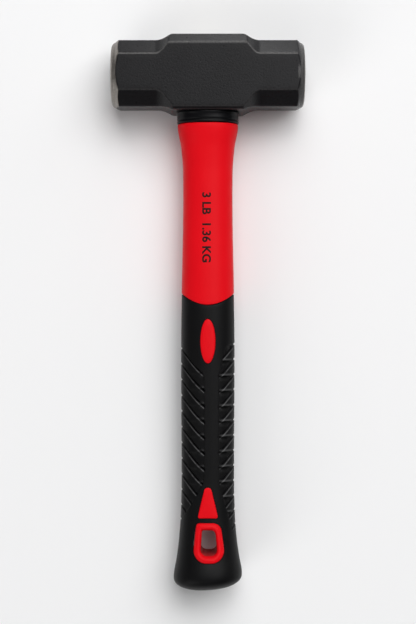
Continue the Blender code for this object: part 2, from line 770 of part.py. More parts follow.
def make_inlays(shop: Workshop, sleeve: bpy.types.Object, material) -> None:
    """Ovals and arrows let into the sleeve, front and back, that follow its surface."""
    top = BUTT_Y + SLEEVE_SIDE_HEIGHT
    bottom = BUTT_Y + BUTT_NECK_HEIGHT
    outer = shop.cutter(lofted("inlay_outer", skin_rows(top, bottom, INLAY_PROUD)))
    under = shop.cutter(lofted("inlay_under", skin_rows(top, bottom, -INLAY_DEPTH)))
    pocket_floor = shop.cutter(lofted("pocket_floor", skin_rows(top, bottom, -INLAY_DEPTH - GAP)))
    reach = FAR / 2
    outlines = {"oval": oval_outline(), "arrow": arrow_outline()}
    for face, side in (("front", 1), ("back", -1)):
        place = in_plan(AXIS_Z + side * reach)
        for shape, points in outlines.items():
            inlay = extruded(f"{shape}_inlay_{face}", points, reach - GAP, place)
            shop.piece(inlay, material)
            keep_inside(inlay, outer)
            cut(inlay, under)
            pocket = extruded(f"{shape}_pocket_{face}", grown(points, GAP), reach - GAP, place)
            cut(shop.cutter(pocket), pocket_floor)
            cut(sleeve, pocket)


def reach(points: list, centre: Vector, direction: Vector) -> float:
    """How far an outline is from a point inside it, in a direction."""
    distances = []
    for start, end in zip(points, points[1:] + points[:1]):
        edge = end - start
        across = direction.cross(edge)
        if abs(across) < 1e-12:
            continue
        share = (start - centre).cross(direction) / across
        distance = (start - centre).cross(edge) / across
        if -1e-6 <= share <= 1 + 1e-6 and distance > 0:
            distances.append(distance)
    return max(distances)


def make_liner(shop: Workshop, material) -> None:
    """A D-shaped tube through the butt with a rounded bead on both faces."""
    centre = Vector((LINER_SHIFT, BUTT_Y + LINER_HEIGHT))
    inner = liner_inner()
    outer = liner_outer()
    section = [(share, lift, 1) for share, lift in BEAD_PROFILE]
    section += [(share, lift, -1) for share, lift in reversed(BEAD_PROFILE)]
    work = bmesh.new()
    rings = []
    for index in range(LINER_SIDES):
        angle = 2 * math.pi * index / LINER_SIDES - math.pi
        direction = Vector((math.cos(angle), math.sin(angle)))
        near = reach(inner, centre, direction)
        far = reach(outer, centre, direction)
        ring = []
        for share, lift, side in section:
            x, y = centre + direction * (near + (far - near) * share)
            height = surface_height(x, y) + LINER_BEAD * lift
            ring.append(work.verts.new((x, y, AXIS_Z + side * height)))
        rings.append(ring)
    count = len(section)
    for ring, onward in zip(rings, rings[1:] + rings[:1]):
        for index in range(count):
            after = (index + 1) % count
            work.faces.new((ring[index], ring[after], onward[after], onward[index]))
    shop.piece(new_object("hang_hole_liner", work), material)


def main() -> None:
    clear_scene()
    shop = Workshop("sledgehammer")
    black_steel = add_material("black_steel", (0.03, 0.03, 0.035), 0.45, 0.6)
    epoxy = add_material("epoxy", (0.05, 0.045, 0.04), 0.3)
    fibreglass = add_material("fibreglass", (0.55, 0.5, 0.35), 0.5)
    collar_black = add_material("collar_black", (0.012, 0.012, 0.014), 0.5)
    red_plastic = add_material("red_plastic", (0.78, 0.01, 0.015), 0.4)
    grip_rubber = add_material("grip_rubber", (0.012, 0.012, 0.012), 0.6)
    make_head(shop, black_steel)
    make_potting(shop, epoxy)
    make_core(shop, fibreglass)
    make_collar(shop, collar_black)
    make_jacket(shop, red_plastic)
    sleeve = make_sleeve(shop, grip_rubber)
    make_inlays(shop, sleeve, red_plastic)
    make_liner(shop, red_plastic)


main()
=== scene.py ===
"""Looks of a short two-faced sledgehammer, built round its CAD frame.

The hammer lies on its side: X is the striking axis, Y runs up the handle to the head, +Z is up.
Each sub-assembly is a class that builds its meshes and dresses them with its finishes.
"""

import logging
import math
from dataclasses import dataclass, field
from enum import Enum
from typing import Callable

import bmesh
import bpy
import numpy as np
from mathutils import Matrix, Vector


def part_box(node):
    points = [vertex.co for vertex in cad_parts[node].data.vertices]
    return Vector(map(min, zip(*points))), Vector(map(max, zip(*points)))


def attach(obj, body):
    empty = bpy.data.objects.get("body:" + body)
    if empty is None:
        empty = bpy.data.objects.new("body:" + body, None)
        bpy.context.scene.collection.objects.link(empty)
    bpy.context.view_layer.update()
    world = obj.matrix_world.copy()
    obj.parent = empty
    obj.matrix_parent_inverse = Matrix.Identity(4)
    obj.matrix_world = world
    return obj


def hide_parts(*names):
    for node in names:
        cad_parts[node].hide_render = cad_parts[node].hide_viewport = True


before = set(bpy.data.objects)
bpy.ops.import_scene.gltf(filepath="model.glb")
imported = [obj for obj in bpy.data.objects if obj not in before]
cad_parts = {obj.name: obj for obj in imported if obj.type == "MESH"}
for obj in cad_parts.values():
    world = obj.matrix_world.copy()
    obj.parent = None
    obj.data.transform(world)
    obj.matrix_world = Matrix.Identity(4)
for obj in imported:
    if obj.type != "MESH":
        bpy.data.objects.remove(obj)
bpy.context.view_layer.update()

LOG = logging.getLogger("sledgehammer")
MM = 0.001
BODY = "root"
GAP = 0.3 * MM
OVAL_POWER = 2.25
NOISE_MEAN = 0.5
TINY = 1e-15
MARGIN = 1e-6
Curve = Callable[[np.ndarray], np.ndarray]
Triple = tuple[float, float, float]
Colour = Triple
Place = tuple[float, float]
Span = tuple[float, float]
Profile = tuple[Place, ...]  # steps of an edge: how far along it, then how far out


class Side(Enum):
    """The grip's two grooved panels, by the sign of X."""

    LEFT = -1
    RIGHT = 1


class Face(Enum):
    """The hammer's two flat sides, by the sign of Z from its middle plane."""

    FRONT = 1
    BACK = -1


# Shape helpers


def smooth_min(first: np.ndarray, second: np.ndarray, blend: float) -> np.ndarray:
    """The smaller of two heights, rounded where they cross.

    Args:
        first: heights of one surface.
        second: heights of the other.
        blend: how far apart the two still round each other.

    Returns:
        The rounded minimum.
    """
    near = np.maximum(blend - np.abs(first - second), 0.0) / blend
    return np.minimum(first, second) - near * near * blend / 4


def smooth_max(first: np.ndarray, second: np.ndarray, blend: float) -> np.ndarray:
    """The larger of two heights, rounded where they cross."""
    return -smooth_min(-first, -second, blend)


def smooth_step(value: np.ndarray, low: float, high: float) -> np.ndarray:
    """0 below low, 1 above high and an even slope between."""
    share = np.clip((value - low) / (high - low), 0.0, 1.0)
    return share * share * (3 - 2 * share)


def monotone(places: list[float], values: list[float]) -> Curve:
    """A cubic through the values that never overshoots them.

    Args:
        places: where the values stand, in any order.
        values: one value for each place.

    Returns:
        A function of an array of places; it is level past both ends.
    """
    order = np.argsort(places)
    xs, ys = np.array(places)[order], np.array(values)[order]
    steps = np.diff(xs)
    rises = np.diff(ys) / steps
    slopes = np.zeros_like(ys)
    for i in range(1, len(xs) - 1):
        if rises[i - 1] * rises[i] > 0:
            weight = (2 * steps[i] + steps[i - 1]) / (3 * (steps[i] + steps[i - 1]))
            slopes[i] = 1 / (weight / rises[i - 1] + (1 - weight) / rises[i])

    def read(place: np.ndarray) -> np.ndarray:
        """The curve's value at each place.

        Args:
            place: places to read the curve at.

        Returns:
            The value at each place.
        """
        place = np.clip(place, xs[0], xs[-1])
        i = np.clip(np.searchsorted(xs, place, side="right") - 1, 0, len(steps) - 1)
        step = steps[i]
        t = (place - xs[i]) / step
        return (
            (2 * t**3 - 3 * t**2 + 1) * ys[i]
            + (t**3 - 2 * t**2 + t) * step * slopes[i]
            + (3 * t**2 - 2 * t**3) * ys[i + 1]
            + (t**3 - t**2) * step * slopes[i + 1]
        )

    return read


def around_circles(circles: list[Triple], steps: int = 64) -> np.ndarray:
    """The outline of a band stretched round circles.

    Args:
        circles: centre x, centre y and radius of each circle.
        steps: how many points each full circle is sampled with.

    Returns:
        The outline's points in counterclockwise order.
    """
    turns = np.linspace(0, 2 * math.pi, steps, endpoint=False)
    ways = np.column_stack((np.cos(turns), np.sin(turns)))
    points = np.concatenate([np.array((x, y)) + r * ways for x, y, r in circles])
    centre = points.mean(axis=0)
    angles = np.linspace(-math.pi, math.pi, 4 * steps, endpoint=False)
    ways = np.column_stack((np.cos(angles), np.sin(angles)))
    support = ((points - centre) @ ways.T).max(axis=0)
    following = np.roll(ways, -1, axis=0)
    ahead = np.roll(support, -1)
    cross = ways[:, 0] * following[:, 1] - ways[:, 1] * following[:, 0]
    x = (support * following[:, 1] - ahead * ways[:, 1]) / cross
    y = (ways[:, 0] * ahead - following[:, 0] * support) / cross
    return np.column_stack((x, y)) + centre


def polar_reach(outline: np.ndarray, centre: np.ndarray, angles: np.ndarray) -> np.ndarray:
    """How far an outline is from a point inside it, in each direction.

    Args:
        outline: points of a closed outline in plan.
        centre: a point inside the outline.
        angles: directions from the centre, in radians.

    Returns:
        The distance in each direction.
    """
    starts = outline - centre
    edges = np.roll(starts, -1, axis=0) - starts
    result = np.zeros(len(angles))
    for index, angle in enumerate(angles):
        way = np.array((math.cos(angle), math.sin(angle)))
        across = way[0] * edges[:, 1] - way[1] * edges[:, 0]
        across = np.where(np.abs(across) < TINY, TINY, across)
        share = (starts[:, 0] * way[1] - starts[:, 1] * way[0]) / across
        length = (starts[:, 0] * edges[:, 1] - starts[:, 1] * edges[:, 0]) / across
        hits = (share > -MARGIN) & (share < 1 + MARGIN) & (length > 0)
        result[index] = length[hits].max()
    return result


def outline_distance(outline: np.ndarray, points: np.ndarray) -> np.ndarray:
    """Distance from points to a closed outline, positive inside it.

    Args:
        outline: points of a closed outline in plan.
        points: places to measure, one in each row.

    Returns:
        One distance for each point.
    """
    ends = np.roll(outline, -1, axis=0)
    nearest = np.full(len(points), np.inf)
    crossings = np.zeros(len(points), dtype=int)
    for start, end in zip(outline, ends):
        edge = end - start
        offset = points - start
        share = np.clip(offset @ edge / max(edge @ edge, TINY), 0.0, 1.0)
        nearest = np.minimum(nearest, np.linalg.norm(offset - share[:, None] * edge, axis=1))
        spans = (start[1] > points[:, 1]) != (end[1] > points[:, 1])
        rise = edge[1] if abs(edge[1]) > TINY else TINY
        crossings += spans & (points[:, 0] < start[0] + (points[:, 1] - start[1]) * edge[0] / rise)
    return np.where(crossings % 2 == 1, nearest, -nearest)


def fuller(wave: np.ndarray, power: float = OVAL_POWER) -> np.ndarray:
    """A cosine or sine bent so that the oval it draws has fuller corners."""
    return np.sign(wave) * np.abs(wave) ** (2 / power)


def rounded_edge(radius: float, steps: int) -> list[Place]:
    """How far in and how far down each step of a quarter-round edge is."""
    angles = np.linspace(0, math.pi / 2, steps)
    return [(radius * (1 - math.sin(angle)), radius * (1 - math.cos(angle))) for angle in angles]


# Mesh helpers


def grid_object(name: str, points: np.ndarray, looped: bool = False) -> bpy.types.Object:
    """A closed skin over rings of points.

    Args:
        name: the object's name.
        points: an array of rings by points by xyz; each ring closes on itself.
        looped: join the last ring to the first, for a tube-like ring shape.

    Returns:
        The object, smooth shaded, with its faces pointing out.
    """
    rings, count = points.shape[:2]
    work = bmesh.new()
    verts = [[work.verts.new(point) for point in ring] for ring in points]
    pairs = list(zip(verts, verts[1:]))
    if looped:
        pairs.append((verts[-1], verts[0]))
    for upper, lower in pairs:
        for i in range(count):
            j = (i + 1) % count
            work.faces.new((upper[i], upper[j], lower[j], lower[i]))
    if not looped:
        for ring, place in ((verts[0], points[0]), (verts[-1], points[-1])):
            pole = work.verts.new(place.mean(axis=0))
            for i in range(count):
                work.faces.new((pole, ring[i], ring[(i + 1) % count]))
    return finished_object(name, work)


def finished_object(name: str, work: bmesh.types.BMesh) -> bpy.types.Object:
    """Turns a bmesh into a linked, smooth-shaded object with its faces pointing out.

    Args:
        name: its name.
        work: the mesh in the making, which is used up.

    Returns:
        The object.
    """
    bmesh.ops.recalc_face_normals(work, faces=work.faces)
    mesh = bpy.data.meshes.new(name)
    work.to_mesh(mesh)
    work.free()
    mesh.shade_smooth()
    item = bpy.data.objects.new(name, mesh)
    bpy.context.scene.collection.objects.link(item)
    return item


def outline_prism(name: str, outline: np.ndarray, low: float, high: float) -> bpy.types.Object:
    """An outline in plan, given a height from low to high."""
    rings = np.array([np.column_stack((outline, np.full(len(outline), z))) for z in (low, high)])
    return grid_object(name, rings)


def bake_modifiers(item: bpy.types.Object) -> bpy.types.Object:
    """Replaces an object's mesh by its evaluated one and removes its modifiers.

    Args:
        item: the object.

    Returns:
        The same object.
    """
    evaluated = item.evaluated_get(bpy.context.evaluated_depsgraph_get())
    mesh = bpy.data.meshes.new_from_object(evaluated)
    item.modifiers.clear()
    old, item.data = item.data, mesh
    mesh.name = item.name
    bpy.data.meshes.remove(old)
    return item


def carve(item: bpy.types.Object, cutters: list[bpy.types.Object]) -> bpy.types.Object:
    """Cuts each cutter out of an object, and removes the cutters.

    Args:
        item: the object.
        cutters: closed solids to cut away.

    Returns:
        The same object.
    """
    for cutter in cutters:
        modifier = item.modifiers.new("cut", "BOOLEAN")
        modifier.operation = "DIFFERENCE"
        modifier.solver = "EXACT"
        modifier.object = cutter
    bake_modifiers(item)
    for cutter in cutters:
        bpy.data.objects.remove(cutter)
    return item


def crease(item: bpy.types.Object, degrees: float) -> bpy.types.Object:
    """Keeps an edge sharp where its faces meet at more than an angle.

    Args:
        item: the object.
        degrees: the angle, in degrees.

    Returns:
        The same object.
    """
    item.data.shade_smooth()
    item.data.set_sharp_from_angle(angle=math.radians(degrees))
    return item


def store(item: bpy.types.Object, name: str, values: np.ndarray) -> None:
    """Stores a number for each point of a mesh, for its material or a node tree."""
    attribute = item.data.attributes.get(name) or item.data.attributes.new(name, "FLOAT", "POINT")
    attribute.data.foreach_set("value", np.asarray(values, np.float32))


def coordinates(item: bpy.types.Object) -> np.ndarray:
    """The places of a mesh's points.

    Args:
        item: the object.

    Returns:
        One row of xyz for each point.
    """
    flat = np.empty(len(item.data.vertices) * 3, np.float32)
    item.data.vertices.foreach_get("co", flat)
    return flat.reshape(-1, 3).astype(float)


def dress(item: bpy.types.Object, material: bpy.types.Material, slot: str, *nodes: str) -> None:
    """Gives a finished piece its material and its body, hides the CAD nodes that it stands for and
    logs it.

    Args:
        item: the object.
        material: its finish.
        slot: the record's slot that the finish comes from; it is not used.
        nodes: the CAD nodes that it stands for.
    """
    item.data.materials.clear()
    item.data.materials.append(material)
    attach(item, BODY)
    if nodes:
        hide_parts(*nodes)
    LOG.info("%s: %d faces, replaces %s", item.name, len(item.data.polygons), nodes or "nothing")


# Shader helpers


@dataclass(frozen=True)
class Value:
    """A number on a socket; arithmetic on it adds Math nodes."""

    maker: "NodeMaker"
    socket: bpy.types.NodeSocket

    def _with(self, operation: str, *others: object) -> "Value":
        """A Math node on this value and the others."""
        inputs = dict(enumerate((self, *others)))
        return self.maker.value("ShaderNodeMath", inputs, operation=operation)

    def __add__(self, other: object) -> "Value":
        """This plus the other."""
        return self._with("ADD", other)

    def __sub__(self, other: object) -> "Value":
        """This less the other."""
        return self._with("SUBTRACT", other)

    def __mul__(self, other: object) -> "Value":
        """This times the other."""
        return self._with("MULTIPLY", other)

    def __rsub__(self, other: float) -> "Value":
        """A number less this."""
        return self.maker.value("ShaderNodeMath", {0: other, 1: self}, operation="SUBTRACT")

    __radd__ = __add__
    __rmul__ = __mul__

    def clamped(self) -> "Value":
        """This value, kept between 0 and 1."""
        return self.maker.value("ShaderNodeClamp", {"Value": self})

    def smaller(self, other: object) -> "Value":
        """The smaller of the two."""
        return self._with("MINIMUM", other)

    def ramp(self, low: float, high: "float | Value") -> "Value":
        """0 at low and 1 at high, with an even slope between."""
        inputs = {"Value": self, "From Min": low, "From Max": high}
        return self.maker.value("ShaderNodeMapRange", inputs, interpolation_type="SMOOTHSTEP")


class NodeMaker:
    """Adds nodes to one tree."""

    tree: bpy.types.NodeTree

    def node(self, kind: str, inputs: dict | None = None, **settings: object) -> bpy.types.Node:
        """Adds a node.

        Args:
            kind: the node's type.
            inputs: a value or a link for each socket, by name or number.
            settings: the node's own properties, which are set first.

        Returns:
            The node.
        """
        made = self.tree.nodes.new(kind)
        for key, setting in settings.items():
            setattr(made, key, setting)
        for key, given in (inputs or {}).items():
            self.feed(made.inputs[key], given)
        return made

    def feed(self, socket: bpy.types.NodeSocket, given: object) -> None:
        """Links a socket to a value or another socket, or sets its number or colour.

        Args:
            socket: the socket to feed.
            given: a value, a socket or a constant.
        """
        if isinstance(given, Value):
            given = given.socket
        if isinstance(given, bpy.types.NodeSocket):
            self.tree.links.new(given, socket)
        elif isinstance(given, tuple) and len(given) == 3 and socket.type == "RGBA":
            socket.default_value = (*given, 1.0)
        else:
            socket.default_value = given

    def value(
        self, kind: str, inputs: dict | None = None, output: int | str = 0, **settings: object
    ) -> Value:
        """Adds a node and wraps one of its outputs."""
        return Value(self, self.node(kind, inputs, **settings).outputs[output])


class Sheet(NodeMaker):
    """One material's nodes, round a single Principled shader."""

    def __init__(self, name: str) -> None:
        """Makes the material and finds its shader.

        Args:
            name: its name.
        """
        self.material = bpy.data.materials.new(name)
        self.material.use_nodes = True
        self.tree = self.material.node_tree
        self.shader = self.tree.nodes["Principled BSDF"]

    def place(self) -> bpy.types.NodeSocket:
        """Object coordinates in millimetres.

        Returns:
            The scaled coordinates.
        """
        coords = self.node("ShaderNodeTexCoord").outputs["Object"]
        scaled = self.node("ShaderNodeVectorMath", {0: coords, "Scale": 1000.0}, operation="SCALE")
        return scaled.outputs[0]

    def noise(
        self, where: object, scale: float, detail: float = 2.0, roughness: float = 0.5
    ) -> Value:
        """A soft random pattern with features about 1/scale mm wide."""
        inputs = {"Vector": where, "Scale": scale, "Detail": detail, "Roughness": roughness}
        return self.value("ShaderNodeTexNoise", inputs)

    def stretched(self, where: object, stretch: Triple) -> bpy.types.NodeSocket:
        """Coordinates scaled by a factor on each axis."""
        made = self.node("ShaderNodeVectorMath", {0: where, 1: stretch}, operation="MULTIPLY")
        return made.outputs[0]

    def blend(self, share: object, first: object, second: object) -> bpy.types.NodeSocket:
        """A colour between two colours.

        Args:
            share: 0 for the first and 1 for the second.
            first: the first colour.
            second: the second colour.

        Returns:
            The mixed colour.
        """
        made = self.node("ShaderNodeMix", data_type="RGBA")
        for key, given in ((0, share), (6, first), (7, second)):
            self.feed(made.inputs[key], given)
        return made.outputs[2]

    def attribute(self, name: str) -> Value:
        """A number stored on the mesh's points."""
        return self.value("ShaderNodeAttribute", output="Fac", attribute_name=name)

    def bump(self, height: Value, distance: float, strength: float = 1.0) -> None:
        """Feeds the shader's Normal from a height, which the distance turns into metres."""
        inputs = {"Height": height, "Distance": distance, "Strength": strength}
        self.set("Normal", self.node("ShaderNodeBump", inputs).outputs[0])

    def set(self, name: str, given: object) -> None:
        """Sets or links one of the shader's own sockets."""
        self.feed(self.shader.inputs[name], given)


@dataclass(frozen=True)
class BlackSteel:
    """Fine-grained black coating on forged steel, ground bare on the striking faces, with worn
    edges that carry a painted highlight on the upper ones.
    """

    coat: Colour = (0.0030, 0.0028, 0.0035)
    coat_light: Colour = (0.0120, 0.0115, 0.0130)
    worn_and_highlight: Colour = (0.12, 0.117, 0.115)
    bare: Colour = (0.34, 0.315, 0.29)
    bare_dark: Colour = (0.16, 0.146, 0.136)
    coat_roughness: float = 0.31
    coat_specular: float = 0.14
    bare_roughness: float = 0.36
    wear_and_highlight: float = 0.85
    grain: float = 0.9
    grain_depth: float = 0.1 * MM
    ragged_scale: float = 1.1
    ragged_reach: float = 0.5
    ragged_edge: float = 0.08
    cloud_scale: float = 0.05
    chip_scale: float = 0.9
    chip_floor: float = 0.25
    stroke_scale: float = 1.3
    stroke_stretch: Triple = (2.2, 0.18, 2.2)
    stroke_depth: float = 0.35
    grain_sheen: float = 0.22
    stroke_sheen: float = 0.14
    worn_sheen: float = 0.1

    def material(self) -> bpy.types.Material:
        """The finish, bare where the mesh says that the coating has been ground off.

        Returns:
            The material.
        """
        sheet = Sheet("black_steel_finish")
        where = sheet.place()
        ragged = (sheet.noise(where, self.ragged_scale, 3.0) - NOISE_MEAN) * self.ragged_reach
        bare = (sheet.attribute("bare_depth") + ragged).ramp(-self.ragged_edge, self.ragged_edge)
        grain = sheet.noise(where, self.grain, 4.0, 0.62)
        cloud = sheet.noise(where, self.cloud_scale, 3.0)
        edge = sheet.attribute("edge")
        chips = sheet.noise(where, self.chip_scale, 3.0, 0.65)
        # Worn edges: paler and more metallic along the corners, made stronger on the upper edges as
        # a painted highlight.
        wear_and_highlight = (edge * (chips + self.chip_floor)).clamped() * (1 - bare)
        tint = (grain * 0.7 + cloud * 0.5 - 0.1).clamped()
        paint = sheet.blend(tint, self.coat, self.coat_light)
        paint = sheet.blend(wear_and_highlight * self.wear_and_highlight, paint, self.worn_and_highlight)
        along = sheet.stretched(where, self.stroke_stretch)
        strokes = sheet.noise(along, self.stroke_scale, 5.0, 0.7)
        metal = sheet.blend(strokes.ramp(0.3, 0.7), self.bare_dark, self.bare)
        sheet.set("Base Color", sheet.blend(bare, paint, metal))
        sheet.set("Metallic", (bare * 0.9 + wear_and_highlight * 0.2).clamped())
        coat_rough = self.coat_roughness + (grain - NOISE_MEAN) * self.grain_sheen
        coat_rough = coat_rough - wear_and_highlight * self.worn_sheen
        bare_rough = self.bare_roughness + strokes * self.stroke_sheen
        sheet.set("Roughness", coat_rough * (1 - bare) + bare_rough * bare)
        sheet.set("Specular IOR Level", self.coat_specular)
        height = grain * (1 - bare) + strokes * bare * self.stroke_depth
        sheet.bump(height, self.grain_depth)
        return sheet.material


@dataclass(frozen=True)
class MouldedPlastic:
    """A moulded skin with a fine etched grain, soft colour drift and rubbed spots."""

    name: str
    colour: Colour
    deep: Colour
    roughness: float
    grain: float
    grain_depth: float
    rubbed_and_highlight: float = 0.0
    specular: float = 0.5
    drift_scale: float = 0.035
    handling_scale: float = 0.11
    grain_sheen: float = 0.14

    def start(self) -> tuple[Sheet, bpy.types.NodeSocket, Value]:
        """Begins the finish.

        Returns:
            Its sheet, its colour and the height of its grain, which are still to be set.
        """
        sheet = Sheet(self.name)
        where = sheet.place()
        grain = sheet.noise(where, self.grain, 3.0, 0.6)
        drift = sheet.noise(where, self.drift_scale, 2.0)
        along = sheet.stretched(where, (1.0, 0.4, 1.0))
        handling = sheet.noise(along, self.handling_scale, 4.0, 0.6)
        tint = (drift * 0.6 + grain * 0.25 + 0.08).clamped()
        gloss = handling.ramp(0.52, 0.72) * self.rubbed_and_highlight
        sheet.set("Roughness", self.roughness + (grain - NOISE_MEAN) * self.grain_sheen - gloss)
        sheet.set("Specular IOR Level", self.specular)
        return sheet, sheet.blend(tint, self.deep, self.colour), grain * self.grain_depth

    def material(self) -> bpy.types.Material:
        """The finish as a material.

        Returns:
            The material.
        """
        sheet, colour, relief = self.start()
        sheet.set("Base Color", colour)
        sheet.bump(relief, 1.0)
        return sheet.material


@dataclass(frozen=True)
class GlassFibre:
    """The sawn end of a pultruded glass fibre rod: fibre ends in amber resin."""

    resin: Colour = (0.34, 0.27, 0.13)
    fibre: Colour = (0.62, 0.58, 0.45)
    strand_scale: float = 2.6
    patch_scale: float = 0.35
    strand_depth: float = 0.08 * MM
    roughness: float = 0.62

    def material(self) -> bpy.types.Material:
        """The finish as a material.

        Returns:
            The material.
        """
        sheet = Sheet("glass_fibre_finish")
        where = sheet.place()
        along = sheet.stretched(where, (1.0, 0.06, 1.0))
        strands = sheet.noise(along, self.strand_scale, 3.0, 0.7)
        patches = sheet.noise(along, self.patch_scale, 2.0)
        tint = (strands.ramp(0.35, 0.68) * 0.75 + patches * 0.3).clamped()
        sheet.set("Base Color", sheet.blend(tint, self.resin, self.fibre))
        sheet.set("Roughness", self.roughness - strands * 0.2)
        sheet.bump(strands, self.strand_depth)
        return sheet.material


@dataclass(frozen=True)
class Potting:
    """Cast epoxy: dark, glossy, with a few flat spots and bubbles."""

    colour: Colour = (0.018, 0.014, 0.011)
    amber: Colour = (0.07, 0.045, 0.022)
    swirl_scale: float = 0.3
    pit_scale: float = 1.1
    pit_depth: float = 0.12 * MM
    roughness: float = 0.16

    def material(self) -> bpy.types.Material:
        """The finish as a material.

        Returns:
            The material.
        """
        sheet = Sheet("potting_finish")
        where = sheet.place()
        swirl = sheet.noise(where, self.swirl_scale, 3.0)
        pits = sheet.noise(where, self.pit_scale, 2.0)
        sheet.set("Base Color", sheet.blend(swirl.ramp(0.35, 0.7), self.colour, self.amber))
        sheet.set("Roughness", self.roughness + pits.ramp(0.55, 0.75) * 0.3)
        sheet.bump(pits.ramp(0.5, 0.8), self.pit_depth, 0.8)
        return sheet.material


@dataclass(frozen=True)
class PrintedInk:
    """Thin black print, slightly broken by the grain under it."""

    colour: Colour = (0.012, 0.010, 0.010)
    thin: Colour = (0.05, 0.012, 0.012)
    roughness: float = 0.5
    specular: float = 0.06
    grain: float = 1.6
    grain_depth: float = 0.02 * MM

    def material(self) -> bpy.types.Material:
        """The finish as a material.

        Returns:
            The material.
        """
        sheet = Sheet("printed_ink_finish")
        where = sheet.place()
        grain = sheet.noise(where, self.grain, 3.0)
        sheet.set("Base Color", sheet.blend(grain.ramp(0.6, 0.85), self.colour, self.thin))
        sheet.set("Roughness", self.roughness + grain * 0.12)
        sheet.set("Specular IOR Level", self.specular)
        sheet.bump(grain, self.grain_depth)
        return sheet.material


RED_SKIN = MouldedPlastic(
    name="red_plastic_finish",
    colour=(0.80, 0.006, 0.012),
    deep=(0.66, 0.0035, 0.009),
    roughness=0.4,
    grain=1.7,
    grain_depth=0.03 * MM,
    rubbed_and_highlight=0.06,
    specular=0.06,
)
BLACK_RUBBER = MouldedPlastic(
    name="grip_rubber_finish",
    colour=(0.0052, 0.0052, 0.0056),
    deep=(0.0036, 0.0036, 0.0039),
    roughness=0.46,
    grain=1.5,
    grain_depth=0.03 * MM,
    rubbed_and_highlight=0.06,
    specular=0.1,
)
COLLAR_BLACK = MouldedPlastic(
    name="collar_finish",
    colour=(0.0050, 0.0050, 0.0060),
    deep=(0.0035, 0.0035, 0.0042),
    roughness=0.32,
    grain=1.9,
    grain_depth=0.02 * MM,
    rubbed_and_highlight=0.05,
    specular=0.12,
)


@dataclass(frozen=True)
class GrooveRubber:
    """The grip's rubber: a painted highlight along the groove lips and above each facet's step,
    painted shade in the step's wall, and a fine step where each facet ends.
    """

    base: MouldedPlastic = BLACK_RUBBER
    rubbed_and_highlight: Colour = (0.13, 0.13, 0.132)
    step_depth: float = 0.6 * MM
    step_ridge: float = 0.25 * MM
    brow_highlight: float = 0.32
    shaded: Colour = (0.0008, 0.0008, 0.0008)

    def material(self) -> bpy.types.Material:
        """The finish as a material.

        Returns:
            The material.
        """
        sheet, colour, relief = self.base.start()
        # A paler colour along each groove's lower lip: a painted highlight.
        lip_highlight = sheet.noise(sheet.place(), 0.5, 2.0).ramp(0.1, 0.6) * sheet.attribute("lip")
        number = sheet.attribute("step_number")
        turn = number - sheet.value("ShaderNodeMath", {0: number}, operation="FLOOR")
        share = sheet.attribute("step_share")
        floor = (turn.ramp(0.0, 0.3) - 1) * self.step_depth
        ridge = turn.ramp(0.7, 0.88) * self.step_ridge
        wall = turn.ramp(0.89, 1.0)
        step = (floor + ridge - wall * (self.step_depth + self.step_ridge)) * share
        # Paler just above each step's wall: a painted highlight.
        brow = turn.ramp(0.74, 0.85) * (1 - turn.ramp(0.87, 0.92)) * share
        # Near black in each step's wall and just below it: painted shade.
        shade = (wall + 1 - turn.ramp(0.0, 0.06)).clamped() * share
        painted_highlight = (lip_highlight + brow * self.brow_highlight).clamped()
        colour = sheet.blend(shade, sheet.blend(painted_highlight, colour, self.rubbed_and_highlight), self.shaded)
        sheet.set("Base Color", colour)
        sheet.bump(relief + step, 1.0)
        return sheet.material


@dataclass(frozen=True)
class ShadedBore:
    """The liner's red, darkened and dulled down inside its tunnel as painted shade."""

    base: MouldedPlastic = RED_SKIN
    bore_shade: Colour = (0.36, 0.024, 0.024)

    def material(self) -> bpy.types.Material:
        """The finish as a material.

        Returns:
            The material.
        """
        sheet, colour, relief = self.base.start()
        patches = sheet.noise(sheet.place(), 0.25, 3.0) * 0.4 + 0.7
        # Darker the deeper into the tunnel, in patches: painted shade.
        share = (sheet.attribute("bore_depth") * patches).clamped()
        sheet.set("Base Color", sheet.blend(share, colour, self.bore_shade))
        sheet.bump(relief, 1.0)
        return sheet.material


# Head


